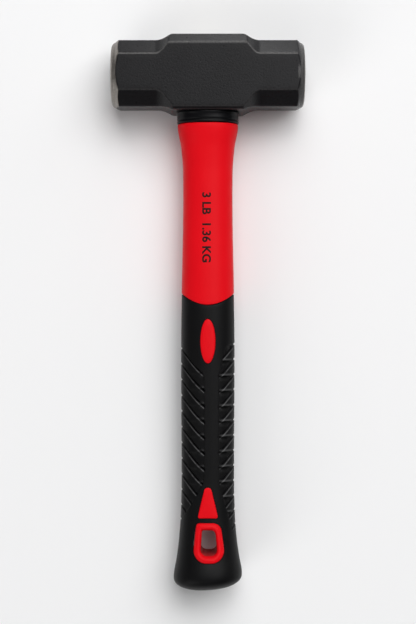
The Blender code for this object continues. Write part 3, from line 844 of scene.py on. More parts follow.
@dataclass
class ForgedHead:
    """The octagonal head: a bar with a taller middle round the eye and crowned, ground faces."""

    corner_leg: float = 9.3 * MM
    middle_half_length: float = 22.3 * MM
    top_rise: float = 3.4 * MM
    bottom_rise: float = 2.5 * MM
    top_leg: float = 5.8 * MM
    bottom_leg: float = 2.0 * MM
    step_angle: float = math.radians(31.0)
    corner_step_start: float = 29.5 * MM
    corner_step_angle: float = math.radians(42.0)
    face_radii: tuple[float, ...] = (0.0, 9.0, 15.0, 17.5, 19.0, 19.9, 20.5, 21.4, 24.2)
    face_drops: tuple[float, ...] = (0.0, 0.1, 0.32, 0.6, 1.15, 2.1, 3.2, 3.9, 5.4)
    ground_radius: float = 18.6 * MM
    rim_radius: float = 20.0 * MM
    hollow_blend: float = 2.6 * MM
    ridge_blend: float = 0.5 * MM
    edge_blend: float = 0.55 * MM
    side_columns: int = 9
    plain_rows: tuple[tuple[float, int], ...] = ((0.0, 7), (19.0, 45), (38.0, 9))
    crown_rows: int = 40
    face_rows: int = 14
    face_centre: float = 1.2 * MM
    crown_overlap: float = 0.6 * MM
    edge_columns: Span = (0.3 * MM, 0.75 * MM)
    least_slant: float = 0.2
    worn_edge: Span = (0.15 * MM, 0.6 * MM)
    worn_rim: Span = (0.3 * MM, 1.1 * MM)
    # Every edge keeps the lower share as wear; the upper edges get the rest as a painted highlight.
    highlight_height: Span = (-2.0 * MM, 8.0 * MM)
    lower_wear: float = 0.3
    rim_reach: float = 5.0 * MM
    coat_overlap: float = 0.35 * MM
    depth_limit: float = 3.0
    mouth_edge: float = 0.7 * MM
    mouth_depth: float = 3.0 * MM
    cutter_reach: float = 20.0 * MM
    cutter_rows: int = 14
    half_length: float = field(init=False)
    half_flats: float = field(init=False)
    axis_y: float = field(init=False)
    axis_z: float = field(init=False)
    face_drop: Curve = field(init=False)

    def __post_init__(self) -> None:
        """Reads the head's place and overall sizes from the frame."""
        low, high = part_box("hammer_head")
        self.half_length = (high.x - low.x) / 2
        self.half_flats = (high.z - low.z) / 2
        self.axis_z = (high.z + low.z) / 2
        self.axis_y = high.y - self.top_rise - self.half_flats
        radii = [radius * MM for radius in self.face_radii]
        self.face_drop = monotone(radii, [drop * MM for drop in self.face_drops])

    def level(self, x: np.ndarray, rise: float) -> np.ndarray:
        """Height of the top or bottom flats above the axis, along the head.

        Args:
            x: places along the head.
            rise: how far the middle stands over the ends.

        Returns:
            One height for each place.
        """
        reach = np.abs(x)
        high = self.half_flats + rise
        slope = high - (reach - self.middle_half_length) * math.tan(self.step_angle)
        ridge = smooth_min(np.full_like(reach, high), slope, self.ridge_blend)
        return smooth_max(ridge, np.full_like(reach, self.half_flats), self.hollow_blend)

    def corner_level(self, x: np.ndarray, rise: float, leg: float) -> np.ndarray:
        """Distance of a corner flat from the axis, along the head.

        Args:
            x: places along the head.
            rise: how far the middle stands over the ends.
            leg: size of the corner flat in the middle.

        Returns:
            One distance for each place.
        """
        reach = np.abs(x)
        low = (2 * self.half_flats - self.corner_leg) / math.sqrt(2)
        high = (2 * self.half_flats + rise - leg) / math.sqrt(2)
        slope = low + (self.corner_step_start - reach) * math.tan(self.corner_step_angle)
        ridge = smooth_min(np.full_like(reach, high), slope, self.ridge_blend)
        return smooth_max(ridge, np.full_like(reach, low), self.hollow_blend)

    def rows(self) -> tuple[np.ndarray, np.ndarray]:
        """Places along the right half of the head, and the crown's radius at each.

        Returns:
            X of each ring, and the radius past which the crown has ground the ring away.
        """
        corner = self.face_radii[-1] * MM
        edge = self.ground_radius - self.crown_overlap
        outer = np.linspace(corner, edge, self.crown_rows)
        crown_r = np.concatenate((outer, np.linspace(edge, self.face_centre, self.face_rows)[1:]))
        crown_x = self.half_length - self.face_drop(crown_r)
        starts = [start * MM for start, _ in self.plain_rows]
        stops = [*starts[1:], crown_x[0]]
        counts = [count for _, count in self.plain_rows]
        runs = [
            np.linspace(start, stop, count + 1)[:-1]
            for start, stop, count in zip(starts, stops, counts)
        ]
        plain = np.concatenate(runs)
        xs = np.concatenate((plain, crown_x))
        radii = np.concatenate((np.full(len(plain), 1.0), crown_r))
        return xs, radii

    def section(self, x: float, limit: float) -> np.ndarray:
        """One ring: an octagon with rounded corners, inside the crown's circle.

        Args:
            x: the ring's place along the head.
            limit: the crown's radius here.

        Returns:
            The ring's points.
        """
        at = np.array([x])
        top, bottom = self.level(at, self.top_rise)[0], self.level(at, self.bottom_rise)[0]
        upper = self.corner_level(at, self.top_rise, self.top_leg)[0]
        lower = self.corner_level(at, self.bottom_rise, self.bottom_leg)[0]
        flat = self.half_flats
        sides = np.array([top, upper, flat, lower, bottom, lower, flat, upper])
        normals = np.arange(8) * math.pi / 4
        corners = normals + np.arctan(math.sqrt(2) * np.roll(sides, -1) / sides - 1)
        angles = []
        for index in range(8):
            start = corners[index - 1] - (2 * math.pi if index == 0 else 0.0)
            stop = corners[index]
            near = [gap / self.half_flats for gap in self.edge_columns]
            inner = np.linspace(start + near[1], stop - near[1], self.side_columns)
            angles.extend((start, start + near[0], *inner, stop - near[0]))
        angles = np.array(angles)
        slants = np.cos(angles[:, None] - normals)
        distances = sides / np.maximum(slants, self.least_slant)
        distances = np.where(slants > self.least_slant, distances, 1.0)
        distances.sort(axis=1)
        radius = smooth_min(distances[:, 0], distances[:, 1], self.edge_blend)
        radius = smooth_min(radius, np.full_like(radius, limit), self.edge_blend)
        ys = self.axis_y + radius * np.cos(angles)
        zs = self.axis_z + radius * np.sin(angles)
        return np.column_stack((np.full_like(radius, x), ys, zs))

    def edge_share(self, points: np.ndarray) -> np.ndarray:
        """How close points are to the head's corner edges, from 0 to 1, raised on the upper edges
        as a painted highlight.

        Args:
            points: places to measure, one in each row.

        Returns:
            One share for each point.
        """
        x, y, z = points[:, 0], points[:, 1] - self.axis_y, points[:, 2] - self.axis_z
        top = self.level(x, self.top_rise) - y
        bottom = self.level(x, self.bottom_rise) + y
        side = self.half_flats - np.abs(z)
        upper = self.corner_level(x, self.top_rise, self.top_leg)
        lower = self.corner_level(x, self.bottom_rise, self.bottom_leg)
        upper = upper - (y + np.abs(z)) / math.sqrt(2)
        lower = lower - (np.abs(z) - y) / math.sqrt(2)
        gaps = np.sort(np.column_stack((top, bottom, side, upper, lower)), axis=1)
        corner = 1 - smooth_step(gaps[:, 1], *self.worn_edge)
        off_rim = np.abs(np.hypot(y, z) - self.rim_radius)
        rim = 1 - smooth_step(off_rim, *self.worn_rim)
        # The extra on the upper edges is a painted highlight, not wear.
        upper_highlight = (1 - self.lower_wear) * smooth_step(y, *self.highlight_height)
        corner = corner * (self.lower_wear + upper_highlight)
        return np.where(x > self.half_length - self.rim_reach, np.maximum(corner, rim), corner)

    def bare_depth(self, points: np.ndarray) -> np.ndarray:
        """How far points are past the coating's edge, in millimetres.

        The coating ends where the left face's grinding starts, but reaches the rim on the right.

        Args:
            points: places to measure, one in each row.

        Returns:
            One depth for each point.
        """
        radius = np.hypot(points[:, 1] - self.axis_y, points[:, 2] - self.axis_z)
        start = self.half_length - self.coat_overlap
        ground = np.abs(points[:, 0]) + self.face_drop(radius) - start
        face_only = np.minimum(ground, self.ground_radius - radius)
        depth = np.where(points[:, 0] < 0, ground, face_only)
        return np.clip(depth / MM, -self.depth_limit, self.depth_limit)

    def eye_cutter(self, eye: "Eye") -> bpy.types.Object:
        """The hourglass hole through the head, with a broken edge at both mouths.

        Args:
            eye: the head's eye.

        Returns:
            The cutter, a closed solid.
        """
        low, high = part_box("hammer_head")
        broken, inner, far = self.mouth_edge, self.mouth_depth, self.cutter_reach
        places = np.concatenate(
            (
                [high.y + far, high.y, high.y - broken],
                np.linspace(high.y - inner, low.y + inner, self.cutter_rows),
                [low.y + broken, low.y, low.y - far],
            )
        )
        wider = np.zeros_like(places)
        wider[[0, 1, -2, -1]] = broken
        rings = [eye.ring(y, grow) for y, grow in zip(places, wider)]
        return grid_object("eye_cutter", np.array(rings))

    def build(self, eye: "Eye") -> None:
        """Makes and dresses the head.

        Args:
            eye: the head's eye.
        """
        xs, limits = self.rows()
        half = [self.section(x, limit) for x, limit in zip(xs, limits)]
        other = [ring * np.array((-1.0, 1.0, 1.0)) for ring in half[:0:-1]]
        head = grid_object("forged_head", np.array(other + half))
        carve(head, [self.eye_cutter(eye)])
        places = coordinates(head)
        store(head, "edge", self.edge_share(places))
        store(head, "bare_depth", self.bare_depth(places))
        crease(head, degrees=38.0)
        dress(head, BlackSteel().material(), "black_steel", "hammer_head")


@dataclass
class Eye:
    """The head's eye, the core rod in it and the epoxy that pots the rod."""

    top_wall: float = 5.2 * MM
    waist_wall: float = 2.6 * MM
    bottom_wall: float = 4.2 * MM
    columns: int = 96
    core_end: Profile = ((0.0, -3.0), (0.0, -1.2), (0.05, -0.45), (0.4, 0.0))
    core_rows: int = 12
    plain_core: float = 3.0 * MM
    resin_skin: float = 0.12 * MM
    resin_creep: float = 0.75 * MM
    resin_sag: float = 0.15 * MM
    resin_edge: float = 1.0 * MM
    resin_rows: tuple[int, int, int] = (11, 10, 3)
    core_half_width: float = field(init=False)
    core_half_thickness: float = field(init=False)
    axis_z: float = field(init=False)
    core_top: float = field(init=False)
    wall: Curve = field(init=False)

    def __post_init__(self) -> None:
        """Reads the core's section from the frame, and how the eye narrows to its waist."""
        low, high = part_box("fibreglass_core")
        self.core_half_width = (high.x - low.x) / 2
        self.core_half_thickness = (high.z - low.z) / 2
        self.axis_z = (high.z + low.z) / 2
        self.core_top = high.y
        head_low, head_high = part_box("hammer_head")
        middle = (head_high.y + head_low.y) / 2
        places = [head_low.y, middle, head_high.y]
        self.wall = monotone(places, [self.bottom_wall, self.waist_wall, self.top_wall])

    def oval(self, y: float, grow: float) -> np.ndarray:
        """An oval ring round the core, grown by a distance.

        Args:
            y: the ring's place along the handle.
            grow: how far to grow it.

        Returns:
            The ring's points.
        """
        turns = np.linspace(0, 2 * math.pi, self.columns, endpoint=False)
        cos, sin = np.cos(turns), np.sin(turns)
        x = (self.core_half_width + grow) * fuller(cos)
        z = (self.core_half_thickness + grow) * fuller(sin)
        return np.column_stack((x, np.full_like(x, y), self.axis_z + z))

    def ring(self, y: float, grow: float = 0.0) -> np.ndarray:
        """The eye's own section at y, grown by a distance."""
        return self.oval(y, float(self.wall(np.array(y))) + grow)

    def build_core(self) -> None:
        """Makes the rod, with a broken edge and a slightly rough sawn end."""
        low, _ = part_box("fibreglass_core")
        top = self.core_top
        rings = [self.oval(top - drop * MM, grow * MM) for drop, grow in self.core_end]
        plain = np.linspace(top - self.plain_core, low.y, self.core_rows)
        rings += [self.oval(y, 0.0) for y in plain]
        core = grid_object("core_rod", np.array(rings))
        crease(core, degrees=50.0)
        dress(core, GlassFibre().material(), "fibreglass", "fibreglass_core")

    def build_potting(self) -> None:
        """Makes the epoxy ring, which creeps up the rod and the eye's wall as it sets."""
        low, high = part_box("eye_epoxy")
        skin, below = self.resin_skin, high.y - self.resin_edge
        crown_rows, outer_rows, inner_rows = self.resin_rows
        rings = []
        for share in np.linspace(0, 1, crown_rows):
            outer = float(self.wall(np.array(high.y))) - skin
            creep = self.resin_creep * (2 * share - 1) ** 4 - self.resin_sag
            rings.append(self.oval(high.y + creep, skin + (outer - skin) * share))
        rings += [self.ring(y, -skin) for y in np.linspace(below, low.y, outer_rows)]
        rings += [self.oval(y, skin) for y in np.linspace(low.y, below, inner_rows)]
        potting = grid_object("eye_potting", np.array(rings), looped=True)
        crease(potting, degrees=45.0)
        dress(potting, Potting().material(), "epoxy", "eye_epoxy")


# Handle


@dataclass
class HandleForm:
    """The oval form that the jacket and the sleeve share, from the neck down to the butt.

    Neck walls are millimetres below the top and of wall; grip walls are above the butt and of wall.
    """

    cap_power: float = 2.3
    butt_slope: float = 0.055
    butt_height: float = 8.8 * MM
    flare_height: float = 47.0 * MM
    flare_wall: float = 6.3 * MM
    butt_wall: float = 10.7 * MM
    side_height: float = 183.3 * MM
    edge_dip: float = 6.7 * MM
    sleeve_wall: float = 3.1 * MM
    neck_walls: Profile = ((0.0, 8.3), (15.0, 5.95), (30.0, 4.85), (46.0, 4.75))
    even_height: float = 100.0 * MM
    even_steps: int = 7201
    widest_share: float = 0.999
    grip_walls: Profile = (
        (183.3, 5.7), (148.0, 6.1), (68.0, 5.8), (47.0, 6.3), (31.0, 7.5), (21.0, 8.8), (8.8, 10.7),
    )
    core_half_width: float = field(init=False)
    core_half_thickness: float = field(init=False)
    axis_z: float = field(init=False)
    top: float = field(init=False)
    butt: float = field(init=False)
    wall: Curve = field(init=False)
    flare_ratio: float = field(init=False)

    def __post_init__(self) -> None:
        """Reads the handle's ends from the frame and sets up its walls."""
        low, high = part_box("fibreglass_core")
        self.core_half_width = (high.x - low.x) / 2
        self.core_half_thickness = (high.z - low.z) / 2
        self.axis_z = (high.z + low.z) / 2
        self.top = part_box("shaft_jacket")[1].y
        self.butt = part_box("grip_sleeve")[0].y
        places = [self.top - drop * MM for drop, _ in self.neck_walls]
        places += [self.butt + height * MM for height, _ in self.grip_walls]
        walls = [wall * MM for _, wall in self.neck_walls + self.grip_walls]
        self.wall = monotone(places, walls)
        through = self.axis_z - self.core_half_thickness
        self.flare_ratio = (through - self.flare_wall) / (self.butt_wall - self.flare_wall)

    def half_sizes(self, y: np.ndarray) -> tuple[np.ndarray, np.ndarray]:
        """Half width and half thickness of the outer section at y.

        Args:
            y: places along the handle.

        Returns:
            Half the width and half the thickness.
        """
        wall = self.wall(y)
        flared = self.flare_wall + (wall - self.flare_wall) * self.flare_ratio
        through = np.where(y < self.butt + self.flare_height, flared, wall)
        return self.core_half_width + wall, self.core_half_thickness + through

    def lean(self, y: np.ndarray) -> np.ndarray:
        """How much a section leans with the sloping end face."""
        share = (self.butt + self.flare_height - y) / (self.flare_height - self.butt_height)
        return self.butt_slope * smooth_step(share, 0.0, 1.0)

    def points(
        self, turns: np.ndarray, y: np.ndarray, grow: np.ndarray | float = 0.0
    ) -> np.ndarray:
        """Points of the outer surface.

        Args:
            turns: angle round the section, 0 at +X and a quarter turn at +Z.
            y: place along the handle, for each turn.
            grow: how far outside the surface, in the section's plane.

        Returns:
            One point for each turn.
        """
        wide, thick = self.half_sizes(y)
        cos, sin = np.cos(turns), np.sin(turns)
        x, z = (wide + grow) * fuller(cos), (thick + grow) * fuller(sin)
        return np.column_stack((x, y + self.lean(y) * x, self.axis_z + z))

    def height(self, x: np.ndarray, y: np.ndarray) -> np.ndarray:
        """How far the surface is from the middle plane, at places in plan.

        Args:
            x: places across the hammer.
            y: places along the handle.

        Returns:
            One height for each place.
        """
        wide, thick = self.half_sizes(y - self.lean(y) * x)
        share = np.minimum(np.abs(x) / wide, self.widest_share)
        return thick * (1 - share**OVAL_POWER) ** (1 / OVAL_POWER)

    def even_turns(self, count: int) -> np.ndarray:
        """Turns that space points evenly round the grip.

        Args:
            count: how many to make.

        Returns:
            The angles, in radians.
        """
        fine = np.linspace(0, 2 * math.pi, self.even_steps)
        ring = self.points(fine, np.full_like(fine, self.butt + self.even_height))
        lengths = np.concatenate(([0.0], np.cumsum(np.linalg.norm(np.diff(ring, axis=0), axis=1))))
        even = np.linspace(0, lengths[-1], count, endpoint=False)
        return np.interp(even, lengths, fine)

    def sleeve_edge(self, turns: np.ndarray, lower: float = 0.0) -> np.ndarray:
        """Y of the sleeve's curved top edge: high at the sides, low at the front and back.

        Args:
            turns: angles round the section.
            lower: how far below the edge.

        Returns:
            One Y for each turn.
        """
        edge = self.butt + self.side_height
        wide = float(self.half_sizes(np.array(edge))[0])
        x = self.points(turns, np.full_like(turns, edge))[:, 0]
        return edge - lower - self.edge_dip * (1 - (x / wide) ** 2)


@dataclass
class RedShaft:
    """The red skin between the neck and the grip, with its weight mark."""

    form: HandleForm
    columns: int = 144
    rim_radius: float = 0.9 * MM
    seam_width: float = 0.35 * MM
    seam_height: float = 0.07 * MM
    rows: int = 60
    foot_radius: float = 0.5 * MM
    tongue: float = 4.0 * MM
    tongue_wall: float = 2.5 * MM
    mark: str = "3 LB  1.36 KG"
    mark_length: float = 43.0 * MM
    mark_height: float = 5.5 * MM
    mark_top: float = 74.1 * MM
    mark_weight: float = 0.026
    mark_left: float = -3.5 * MM
    mark_step: float = 0.5 * MM
    ink_lift: float = 0.05 * MM

    def build_mark(self) -> None:
        """Prints the weight down the front of the shaft, on its surface."""
        curve = bpy.data.curves.new("weight_mark", "FONT")
        curve.body = self.mark
        curve.offset = self.mark_weight
        outline = bpy.data.objects.new("weight_mark_outline", curve)
        bpy.context.scene.collection.objects.link(outline)
        bpy.context.view_layer.update()
        work = bmesh.new()
        work.from_mesh(bpy.data.meshes.new_from_object(outline))
        bpy.data.objects.remove(outline)
        flat = np.array([vert.co[:2] for vert in work.verts])
        low, size = flat.min(axis=0), np.ptp(flat, axis=0)
        for vert, (along, up) in zip(work.verts, (flat - low) / size):
            x = self.mark_left + up * self.mark_height
            vert.co = (x, self.mark_top - along * self.mark_length, 0.0)
        spans = ((self.mark_left, self.mark_height), (self.mark_top, -self.mark_length))
        for axis, (first, length) in enumerate(spans):
            for step in range(1, int(abs(length) / self.mark_step)):
                place, normal = Vector(), Vector()
                place[axis] = first + math.copysign(step * self.mark_step, length)
                normal[axis] = 1.0
                parts = [*work.verts, *work.edges, *work.faces]
                bmesh.ops.bisect_plane(work, geom=parts, plane_co=place, plane_no=normal)
        for vert in work.verts:
            height = self.form.height(np.array(vert.co.x), np.array(vert.co.y))
            vert.co.z = self.form.axis_z + float(height) + self.ink_lift
        mark = finished_object("weight_mark", work)
        if mark.data.polygons[0].normal.z < 0:
            mark.data.flip_normals()
        dress(mark, PrintedInk().material(), "red_plastic")

    def build(self) -> None:
        """Makes and dresses the shaft."""
        form = self.form
        turns = form.even_turns(self.columns)
        ones = np.ones_like(turns)
        seam_turn = self.seam_width / form.core_half_width
        seam = np.exp(-((np.sin(turns) / seam_turn) ** 2)) * self.seam_height
        bottom = form.sleeve_edge(turns)
        bore = GAP - (form.half_sizes(np.array(form.top))[0] - form.core_half_width)
        rings = [form.points(turns, form.top * ones, bore)]
        for inset, drop in rounded_edge(self.rim_radius, 6):
            rings.append(form.points(turns, (form.top - drop) * ones, -inset))
        first, last = form.top - self.rim_radius, bottom + self.foot_radius
        for share in np.linspace(0, 1, self.rows)[1:]:
            rings.append(form.points(turns, first + (last - first) * share, seam))
        for rise, inset in rounded_edge(self.foot_radius, 5)[1:]:
            rings.append(form.points(turns, bottom + rise, -inset))
        under, foot = -form.sleeve_wall, bottom - self.tongue
        rings += [form.points(turns, bottom, under), form.points(turns, foot, under)]
        rings.append(form.points(turns, foot, bore + self.tongue_wall))
        shaft = grid_object("red_shaft", np.array(rings), looped=True)
        crease(shaft, degrees=50.0)
        dress(shaft, RED_SKIN.material(), "red_plastic", "shaft_jacket")
        self.build_mark()


@dataclass
class NeckCollar:
    """The black collar between the head and the shaft, with a lip, a groove and a base bead."""

    eye: Eye
    wall: float = 8.6 * MM
    lip: Profile = (
        (0.0, 0.1), (0.1, 0.3), (0.35, 0.4), (0.8, 0.36), (1.3, 0.18), (2.0, 0.04), (3.6, 0.0),
    )
    foot: Profile = (
        (2.3, 0.0), (2.05, -0.15), (1.95, -0.5), (1.65, -0.55), (1.5, -0.45), (1.4, -0.1),
        (1.1, 0.05), (0.4, 0.0), (0.1, -0.2), (0.0, -0.5),
    )

    def build(self) -> None:
        """Makes and dresses the collar."""
        low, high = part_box("neck_collar")
        top, base = high.y, low.y
        profile = [(top - drop * MM, out) for drop, out in self.lip]
        profile += [(base + rise * MM, out) for rise, out in self.foot]
        rings = [self.eye.oval(y, self.wall + out * MM) for y, out in profile]
        rings += [self.eye.oval(y, GAP) for y in (base, (base + top) / 2, top)]
        collar = grid_object("neck_collar_ring", np.array(rings), looped=True)
        crease(collar, degrees=60.0)
        dress(collar, COLLAR_BLACK.material(), "collar_black", "neck_collar")


@dataclass(frozen=True)
class GroovePlan:
    """One panel's grooves: where they start at the side of the grip, their spacing and their curve.

    Each groove leaves the side at the slope and flattens by the bend, per metre, towards the band.
    Its facet's step is level with the groove at the step edge, and fades over the step reach.
    """

    side: Side
    first_height: float
    pitch: float
    count: int
    band_edge: float
    slope: float
    bend: float
    step_edge: float
    facet_share: float
    step_reach: Span
    step_strength: float


LEFT_PLAN = GroovePlan(
    side=Side.LEFT,
    first_height=150.1 * MM,
    pitch=9.68 * MM,
    count=12,
    band_edge=-2.1 * MM,
    slope=1.52,
    bend=26.5,
    step_edge=-2.8 * MM,
    facet_share=0.4,
    step_reach=(2.0 * MM, 5.0 * MM),
    step_strength=0.6,
)
RIGHT_PLAN = GroovePlan(
    side=Side.RIGHT,
    first_height=152.7 * MM,
    pitch=9.33 * MM,
    count=13,
    band_edge=6.9 * MM,
    slope=1.45,
    bend=38.0,
    step_edge=5.8 * MM,
    facet_share=1.0,
    step_reach=(30.0 * MM, 31.0 * MM),
    step_strength=1.0,
)
GROOVE_SIZES = {
    "Recess": "recess",
    "Groove Depth": "depth",
    "Upper Width": "upper_width",
    "Lower Width": "lower_width",
    "Facet Height": "facet_height",
    "Edge Softness": "softness",
    "Groove Fade": "groove_fade",
    "Side Loss": "side_loss",
}


@dataclass
class GrooveTree(NodeMaker):
    """The node tree that sinks the panels and cuts their grooves along the grip's surface."""

    recess: float = 0.45 * MM
    depth: float = 1.45 * MM
    side_loss: float = 0.3 * MM
    upper_width: float = 0.5 * MM
    lower_width: float = 0.95 * MM
    facet_height: float = 0.6 * MM
    softness: float = 0.4 * MM
    groove_fade: float = 0.4 * MM
    tree: bpy.types.GeometryNodeTree = field(init=False)
    sockets: dict[str, str] = field(init=False, default_factory=dict)

    def __post_init__(self) -> None:
        """Builds the tree and keeps the identifiers of its inputs."""
        self.tree = bpy.data.node_groups.new("groove_panels", "GeometryNodeTree")
        ports = self.tree.interface
        ports.new_socket("Geometry", in_out="OUTPUT", socket_type="NodeSocketGeometry")
        kinds = {"Geometry": "Geometry", **dict.fromkeys(GROOVE_SIZES, "Float")}
        kinds["Material"] = "Material"
        for name, kind in kinds.items():
            made = ports.new_socket(name, in_out="INPUT", socket_type=f"NodeSocket{kind}")
            self.sockets[name] = made.identifier
        given = self.node("NodeGroupInput").outputs
        size = {name: Value(self, given[name]) for name in GROOVE_SIZES}
        inset, offset = self.read("panel_inset"), self.read("groove_offset")
        side, facet = self.read("side_share"), self.read("facet")
        inside = inset.ramp(0.0, size["Edge Softness"])
        grooved = (inset + size["Groove Fade"]).ramp(0.0, size["Groove Fade"])
        above = (offset + size["Upper Width"]).ramp(0.0, size["Upper Width"])
        below = (size["Lower Width"] - offset).ramp(0.0, size["Lower Width"])
        depth = size["Groove Depth"] - side * size["Side Loss"]
        cut = above.smaller(below) * depth * grooved
        level = (facet * size["Facet Height"] - size["Recess"] * (1 - side)) * inside
        normal = self.node("GeometryNodeInputNormal").outputs[0]
        drop = {0: normal, "Scale": level - cut}
        shift = self.node("ShaderNodeVectorMath", drop, operation="SCALE").outputs[0]
        surface = {"Geometry": given["Geometry"], "Offset": shift}
        moved = self.node("GeometryNodeSetPosition", surface).outputs[0]
        real = self.node("GeometryNodeRealizeInstances", {0: moved}).outputs[0]
        finish = {"Geometry": real, "Material": given["Material"]}
        painted = self.node("GeometryNodeSetMaterial", finish).outputs[0]
        self.node("NodeGroupOutput", {0: painted})

    def read(self, name: str) -> Value:
        """A number stored on the mesh's points."""
        kind = "GeometryNodeInputNamedAttribute"
        return self.value(kind, {"Name": name}, "Attribute", data_type="FLOAT")

    def apply(self, item: bpy.types.Object, material: bpy.types.Material) -> None:
        """Runs the tree on an object and keeps the result as its plain mesh.

        Args:
            item: the plain grip, already marked.
            material: its finish.
        """
        modifier = item.modifiers.new("grooves", "NODES")
        modifier.node_group = self.tree
        for name, size in GROOVE_SIZES.items():
            modifier[self.sockets[name]] = getattr(self, size)
        modifier[self.sockets["Material"]] = material
        bake_modifiers(item)


@dataclass
class RibbedGrip:
    """The black grip: two grooved panels beside a smooth band, windows and a flared butt."""

    form: HandleForm
    columns: int = 280
    groove_angle: float = math.radians(51.0)
    rows_between: int = 10
    rim_radius: float = 0.5 * MM
    # Where and how wide the groove lips' painted highlight is, and how it fades away from the band.
    lip_place: float = 0.98 * MM
    lip_width: float = 0.14 * MM
    lip_reach: Span = (2.0 * MM, 15.0 * MM)
    lip_share: float = 0.35
    groove_start: float = 148.0 * MM
    first_row: float = -0.35
    last_row: float = -0.6
    rows_over: int = 20
    rows_under: int = 26
    butt_rows: int = 20
    top_edge_points: int = 24
    rows_above: tuple[float, ...] = (1.0, 0.75, 0.5, 0.25)
    rows_below: tuple[float, ...] = (0.0, 0.2, 0.4, 0.6, 0.75, 0.9, 1.05, 1.25)
    panel_split: float = 2.4 * MM
    panel_fade: float = 0.5 * MM
    panel_far: float = 30.0 * MM
    panel_foot: float = 20.0 * MM
    foot_radius: float = 25.0 * MM
    left_run: float = 4.0 * MM
    left_radius: float = 9.0 * MM
    left_slope: float = 1.6
    right_slope: float = 3.5
    shoulder: Place = (3.5 * MM, -5.5 * MM)
    shoulder_radius: float = 4.0 * MM
    hip_drop: float = 18.0 * MM
    hip_radius: float = 12.0 * MM
    least_facet: float = 0.3 * MM
    step_fade: Span = (-0.7 * MM, 0.5 * MM)
    side_start: Span = (0.78, 0.97)
    tongue: float = 6.0 * MM
    half_width: float = field(init=False)

    def __post_init__(self) -> None:
        """Works out the half width that the grooves start from."""
        start = np.array(self.form.butt + self.groove_start)
        self.half_width = float(self.form.half_sizes(start)[0])

    def groove_drop(self, plan: GroovePlan, x: np.ndarray | float) -> np.ndarray | float:
        """How far a groove has run down at x, from where it starts at the side."""
        inward = self.half_width - np.abs(x)
        return plan.slope * inward - plan.bend * inward * np.abs(inward)

    def groove_y(
        self, plan: GroovePlan, index: np.ndarray | float, x: np.ndarray | float
    ) -> np.ndarray | float:
        """Y of a groove line at x, for a whole or broken groove number."""
        start = self.form.butt + plan.first_height - plan.pitch * index
        return start - self.groove_drop(plan, x)

    def groove_number(self, plan: GroovePlan, x: np.ndarray, y: np.ndarray) -> np.ndarray:
        """The groove number, whole on a groove line, of places in plan."""
        start = self.form.butt + plan.first_height
        return (start - self.groove_drop(plan, x) - y) / plan.pitch

    def chevron(self, index: float, turns: np.ndarray) -> np.ndarray:
        """Y of a row of points that follows both panels' grooves.

        Args:
            index: the groove's number, whole or broken.
            turns: angles round the section.

        Returns:
            One Y for each turn.
        """
        x = self.half_width * fuller(np.cos(turns))
        left = self.groove_y(LEFT_PLAN, index, np.minimum(x, LEFT_PLAN.band_edge))
        right = self.groove_y(RIGHT_PLAN, index, np.maximum(x, RIGHT_PLAN.band_edge))
        share = smooth_step(x, LEFT_PLAN.band_edge, RIGHT_PLAN.band_edge)
        return left * (1 - share) + right * share

    def row_places(self, turns: np.ndarray) -> list[np.ndarray]:
        """Y of every row from under the top edge down to the widest part of the butt.

        Args:
            turns: angles round the section.

        Returns:
            One array of Y for each row.
        """
        form = self.form
        edge = form.sleeve_edge(turns, GAP) - self.rim_radius
        last_groove = RIGHT_PLAN.count + self.last_row
        first, last = self.chevron(self.first_row, turns), self.chevron(last_groove, turns)
        wide_y = np.full_like(turns, form.butt + form.butt_height)
        across = RIGHT_PLAN.pitch * math.cos(self.groove_angle)
        above, below = GrooveTree.upper_width / across, GrooveTree.lower_width / across
        steps = [-above * share for share in self.rows_above]
        steps += [below * share for share in self.rows_below]
        steps += list(np.linspace(steps[-1], 1 - above, self.rows_between)[1:-1])
        numbers = sorted(number + step for number in range(RIGHT_PLAN.count) for step in steps)
        rows = [edge + (first - edge) * share for share in np.linspace(0, 1, self.rows_over)[:-1]]
        rows += [self.chevron(at, turns) for at in numbers if self.first_row < at < last_groove]
        rows += [last + (wide_y - last) * share for share in np.linspace(0, 1, self.rows_under)]
        return rows

    def panel(self, plan: GroovePlan) -> np.ndarray:
        """The outline in plan of one panel, open past the side of the grip.

        Args:
            plan: the panel's grooves.

        Returns:
            The outline's points.
        """
        form = self.form
        far = self.panel_far * plan.side.value
        band, top = plan.band_edge, form.butt + plan.first_height
        foot = (band, form.butt + form.flare_height + self.panel_foot)
        if plan.side is Side.LEFT:
            run = np.linspace(far, band - self.left_run, self.top_edge_points)
            points = list(zip(run, self.groove_y(plan, 0, run)))
            corner = (band, float(self.groove_y(plan, 0, band)))
            end = (far, foot[1] - (band - far) * self.left_slope)
            points += arc_corner(points[-1], corner, foot, self.left_radius)
        else:
            shoulder = (band + self.shoulder[0], top + self.shoulder[1])
            corner = (band, top - self.hip_drop)
            start = (far, float(self.groove_y(plan, 0, far)))
            end = (far, foot[1] - (far - band) * self.right_slope)
            points = [start, *arc_corner(start, shoulder, corner, self.shoulder_radius)]
            points += arc_corner(shoulder, corner, foot, self.hip_radius)
        points += [*arc_corner(corner, foot, end, self.foot_radius), end]
        return np.array(points)

    def facet(self, plan: GroovePlan, x: np.ndarray, y: np.ndarray) -> np.ndarray:
        """How far each place is up its facet: 0 at the groove above, 1 at the step below.

        Args:
            plan: the panel's grooves.
            x: places across the hammer.
            y: places along the handle.

        Returns:
            One share for each place.
        """
        number = np.floor(self.groove_number(plan, x, y))
        above = self.groove_y(plan, number, x)
        step = self.groove_y(plan, number, np.full_like(x, plan.step_edge))
        share = np.clip((above - y) / np.maximum(above - step, self.least_facet), 0.0, 1.0)
        below_step = smooth_step(y - step, *self.step_fade)
        return share * below_step * (1 - self.side_share(x))

    def side_share(self, x: np.ndarray) -> np.ndarray:
        """0 over the front and back of the grip and 1 at its sides."""
        return smooth_step(np.abs(x) / self.half_width, *self.side_start)

